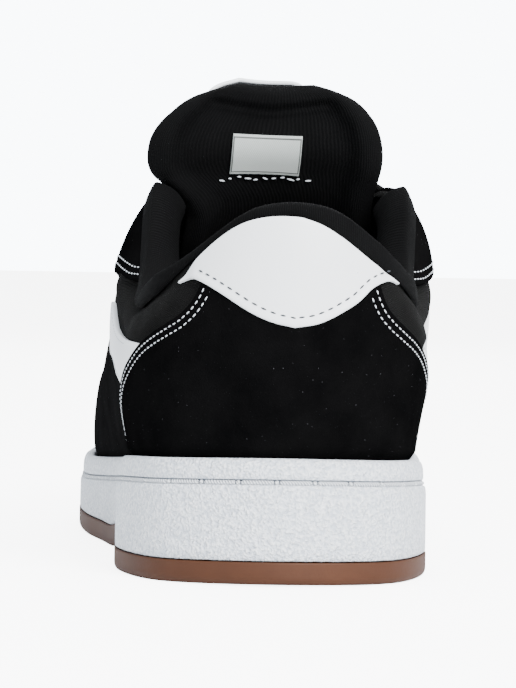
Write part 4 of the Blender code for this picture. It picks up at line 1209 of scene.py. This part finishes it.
def makeTonguePatch():
    wide = patchValues["width"]
    columns, rows = patchValues["grid"]

    def place(u, w):
        shareU, liftU = easeEdge(u * columns, columns, wide)
        shareW, liftW = easeEdge(w * rows, rows, patchValues["height"])
        x = patchValues["side"] + (shareU - 0.5) * wide
        z = tongueTop(x) - (1 - shareW) * patchValues["height"]
        s, across = tongueShares(x, z)
        lift = patchValues["seat"] + patchValues["lift"] * np.minimum(liftU, liftW)
        spots = tongueSpot(s, np.clip(across, -1, 1), np.ones(len(s)), lift)
        spots[:, 2] += patchValues["rise"] * ramp(shareW, 0.90, 1.0) * (1 - np.abs(2 * shareU - 1) ** 8)
        return spots

    size = (wide, patchValues["height"])
    piece = addSheet("tonguePatch", (columns, rows), place, size, "leather",
                     ["tongue_patch"], (0, 0, 0.09))
    thicken = piece.modifiers.new("thickness", "SOLIDIFY")
    thicken.thickness = patchValues["thick"]
    thicken.offset = -1


makeTongue()
makeLabel()
sewLabel()
makeTonguePatch()
print("tongue made")

# eyelets and laces
laceValues = {
    "rows": 6, "first": 0.240, "last": 0.405, "up": 0.90, "seat": 2.3 * mm, "width": 7 * mm,
    "thick": 1.8 * mm, "over": 1.9 * mm, "bow": 0.37, "dive": 30 * mm, "grid": (20, 60), "uvWide": 16 * mm,
}
eyeletValues = {
    "outer": 4.5 * mm, "hole": 2.3 * mm, "rise": 1.0 * mm, "under": 0.6 * mm, "columns": 28,
    "uvSize": (20 * mm, 10 * mm),
}


def eyeletFrame(row, side):  # seat, way out and way up of one eyelet
    share = row / (laceValues["rows"] - 1)
    share = laceValues["first"] + (laceValues["last"] - laceValues["first"]) * share
    a = np.array(share if side < 0 else 1 - share)
    high = laceValues["up"]
    climb = unit(upperPoint(a, 1.0) - upperPoint(a, high))
    return upperOffset(a, high, laceValues["seat"]), upperNormal(a, high), climb


def makeEyelet(word, row, side):
    seat, normal, _ = eyeletFrame(row, side)
    first = unit(np.cross(normal, [0, 1, 0]))
    second = np.cross(normal, first)
    wide, hole, rise = eyeletValues["outer"], eyeletValues["hole"], eyeletValues["rise"]
    under = -eyeletValues["under"]
    profile = np.array([
        (wide, -0.5 * mm), (wide, 0.1 * mm), (wide - 0.5 * mm, 0.6 * rise), (0.55 * (wide + hole), rise),
        (hole + 0.3 * mm, 0.75 * rise), (hole, 0.2 * rise), (hole, under), (0.02 * mm, under),
    ])

    def place(u, w):
        pick = np.round(w * (len(profile) - 1)).astype(int)
        turn = math.tau * u
        flat = first * np.cos(turn)[:, None] + second * np.sin(turn)[:, None]
        return seat + flat * profile[pick, 0][:, None] + normal * profile[pick, 1][:, None]

    node = "%s_eyelet_%d" % (word, row + 1)
    addSheet("%sEyelet%d" % (word, row + 1), (eyeletValues["columns"], len(profile) - 1), place,
             eyeletValues["uvSize"], "enamel", [node], seat - normal * 0.02)


for row in range(laceValues["rows"]):
    makeEyelet("outer", row, -1)
    makeEyelet("inner", row, 1)


def lacePath(start, end, t, rest):
    (seat, up, climb), (far, farUp, farClimb) = start, end
    reach = laceValues["bow"] * np.linalg.norm(far - seat)
    first = seat + up * rest
    last = far + farUp * rest
    u = 1 - t
    spots = u[:, None] ** 3 * first + (3 * t * u * u)[:, None] * (first + climb * reach)
    spots = spots + (3 * t * t * u)[:, None] * (last + farClimb * reach) + t[:, None] ** 3 * last
    dive = np.maximum(0.05 - t, 0) * up[:, None] + np.maximum(t - 0.95, 0) * farUp[:, None]
    return spots - dive.T * laceValues["dive"]


def layLace(bm, start, end, share=1.0):
    thick = laceValues["thick"]
    rest = laceValues["over"] + thick / 2 + (1 - share) * 4 * thick

    def place(u, w):
        t = -0.04 + 1.08 * w
        turn = math.tau * u
        up = start[1] * (1 - t)[:, None] + end[1] * t[:, None]
        way = unit(lacePath(start, end, t + 0.02, rest) - lacePath(start, end, t - 0.02, rest))
        side = unit(np.cross(way, up))
        up = np.cross(side, way)
        pinch = 0.62 + 0.38 * ramp(np.minimum(t, 1 - t), -0.02, 0.16)
        flat = np.sign(np.cos(turn)) * np.abs(np.cos(turn)) ** 0.6
        deep = np.sign(np.sin(turn)) * np.abs(np.sin(turn)) ** 0.8
        flat = flat * share * laceValues["width"] / 2 * pinch
        deep = deep * thick / 2 * (2 - pinch)
        return lacePath(start, end, t, rest) + side * flat[:, None] + up * deep[:, None]

    run = float(np.linalg.norm(end[0] - start[0])) * 1.3
    layGrid(bm, *laceValues["grid"], place, (laceValues["uvWide"], run))


bm = bmesh.new()
for row in range(laceValues["rows"] - 1):
    for side, share in ((-1, 1.0), (1, 0.9)):
        layLace(bm, eyeletFrame(row, side), eyeletFrame(row + 1, -side), share)
lastRow = laceValues["rows"] - 1
layLace(bm, eyeletFrame(lastRow, -1), eyeletFrame(lastRow, 1), 0.95)
finishPiece("lacing", bm, "lace", ["laces"])
print("laces made")

# sewing on the upper; each seam has its ends by share of the way round and its lift
sewValues = {
    "stitch": (1.8 * mm, 1.25 * mm, 0.42 * mm, 0.05),        # pitch, dash, width and unevenness
    "fine": (2.2 * mm, 1.4 * mm, 0.3 * mm, 0.03),
    "coarse": (2.6 * mm, 1.7 * mm, 0.5 * mm, 0.06),
    "rows": (1.6 * mm, 3.5 * mm),
    "counter": {1: 0.0440, -1: 0.0370}, "counterEnd": 0.1262, "counterLift": 1.62 * mm, "lag": 0.0006,
    "eyestay": (0.1525, 0.424), "eyestayLift": 1.93 * mm,
    "wedge": (0.118, 0.198), "wedgeInside": 1.3 * mm, "wedgeLift": 1.22 * mm,
    "toe": (0.395, 0.605), "toeLift": 1.62 * mm,
    "tab": (-0.044, 0.050), "tabInside": 2.4 * mm, "tabLift": 2.0 * mm,
}


def sewPale():
    bm = bmesh.new()
    stitch = sewValues["stitch"]
    for way in (1, -1):
        for k, inside in enumerate(sewValues["rows"]):
            first = backCentre + way * (sewValues["counter"][way] + sewValues["lag"] * k)
            last = backCentre + way * sewValues["counterEnd"]
            line = alongEdge(counterTop, first, last, inside, 1, backCentre, lift=sewValues["counterLift"])
            sewRow(bm, *line, *stitch)
            line = alongEdge(eyestayLow, *sewValues["eyestay"], -inside, way, lift=sewValues["eyestayLift"])
            sewRow(bm, *line, *stitch)
    for way in (1, -1):
        ends = [backCentre + way * share for share in sewValues["wedge"]]
        for edge, inside in ((wedgeHigh, sewValues["wedgeInside"]), (wedgeLow, -sewValues["wedgeInside"])):
            line = alongEdge(edge, *ends, inside, centre=backCentre, lift=sewValues["wedgeLift"])
            sewRow(bm, *line, *sewValues["fine"])
    for inside in sewValues["rows"]:
        line = alongEdge(toeTop, *sewValues["toe"], inside, lift=sewValues["toeLift"])
        sewRow(bm, *line, *stitch)
    finishPiece("paleSewing", bm, "paleThread")


def sewGrey():               # on the white leather
    bm = bmesh.new()
    ends = [backCentre + share for share in sewValues["tab"]]
    line = alongEdge(tabLow, *ends, -sewValues["tabInside"], centre=backCentre, lift=sewValues["tabLift"])
    sewRow(bm, *line, *sewValues["coarse"])
    finishPiece("greySewing", bm, "greyThread")


sewPale()
sewGrey()
print("sewing made")

# CAD pieces that stay, with their own finish
for node, look in (("outsole", "gum"), ("insole", "footbed")):
    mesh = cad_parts[node].data
    mesh.materials.clear()
    mesh.materials.append(looks[look])

# floor and light
stageValues = {
    "floor": (0.90, 0.91, 0.92), "floorPale": (0.93, 0.935, 0.94), "floorSize": 6.0, "floorGlow": 6.0,
    "world": (0.88, 0.94, 1.0), "worldPower": 1.25, "backdrop": 11.0, "aim": (0, 0.08, 0.05),
}


def makeStage():
    bm = bmesh.new()
    bmesh.ops.create_grid(bm, x_segments=1, y_segments=1, size=stageValues["floorSize"])
    mesh = bpy.data.meshes.new("floor")
    bm.to_mesh(mesh)
    bm.free()
    floorLook = Finish("paleFloor", 0.7)
    patches = floorLook.effect(mottle, Scale=3.0, Contrast=0.3)
    floorLook.colour(patches["Value"], stageValues["floor"], stageValues["floorPale"])
    paths = floorLook.tree.nodes.new("ShaderNodeLightPath")
    glow = addMath(floorLook.tree, "MULTIPLY", paths.outputs["Is Camera Ray"], stageValues["floorGlow"])
    floorLook.shader.inputs["Emission Color"].default_value = (1, 1, 1, 1)
    floorLook.tree.links.new(glow, floorLook.shader.inputs["Emission Strength"])
    mesh.materials.append(floorLook.mat)
    floor = bpy.data.objects.new("floor", mesh)
    scene.collection.objects.link(floor)
    world = bpy.data.worlds.new("studio")
    world.use_nodes = True
    shade = world.node_tree.nodes["Background"]
    shade.inputs["Color"].default_value = (*stageValues["world"], 1)
    seen = world.node_tree.nodes.new("ShaderNodeLightPath").outputs["Is Camera Ray"]
    more = stageValues["backdrop"] - stageValues["worldPower"]
    power = addMath(world.node_tree, "MULTIPLY_ADD", seen, more, stageValues["worldPower"])
    world.node_tree.links.new(power, shade.inputs["Strength"])
    scene.world = world


def addLight(name, place, size, power, colour=(1, 1, 1)):
    data = bpy.data.lights.new(name, "AREA")
    data.shape = "RECTANGLE"
    data.size, data.size_y = size
    data.energy = power
    data.color = colour
    lamp = bpy.data.objects.new(name, data)
    toShoe = Vector(stageValues["aim"]) - Vector(place)
    lamp.matrix_world = Matrix.Translation(place) @ toShoe.to_track_quat("-Z", "Y").to_matrix().to_4x4()
    scene.collection.objects.link(lamp)


makeStage()
addLight("keyLight", (0.7, -1.4, 1.1), (1.0, 0.8), 90)
addLight("fillLight", (-1.4, -0.5, 0.7), (1.0, 1.0), 1.5, (0.90, 0.95, 1.0))
addLight("topLight", (0.0, 0.2, 1.6), (1.6, 1.2), 30)
addLight("toeLight", (0.4, 1.6, 0.9), (1.2, 0.8), 14)
print("stage set")
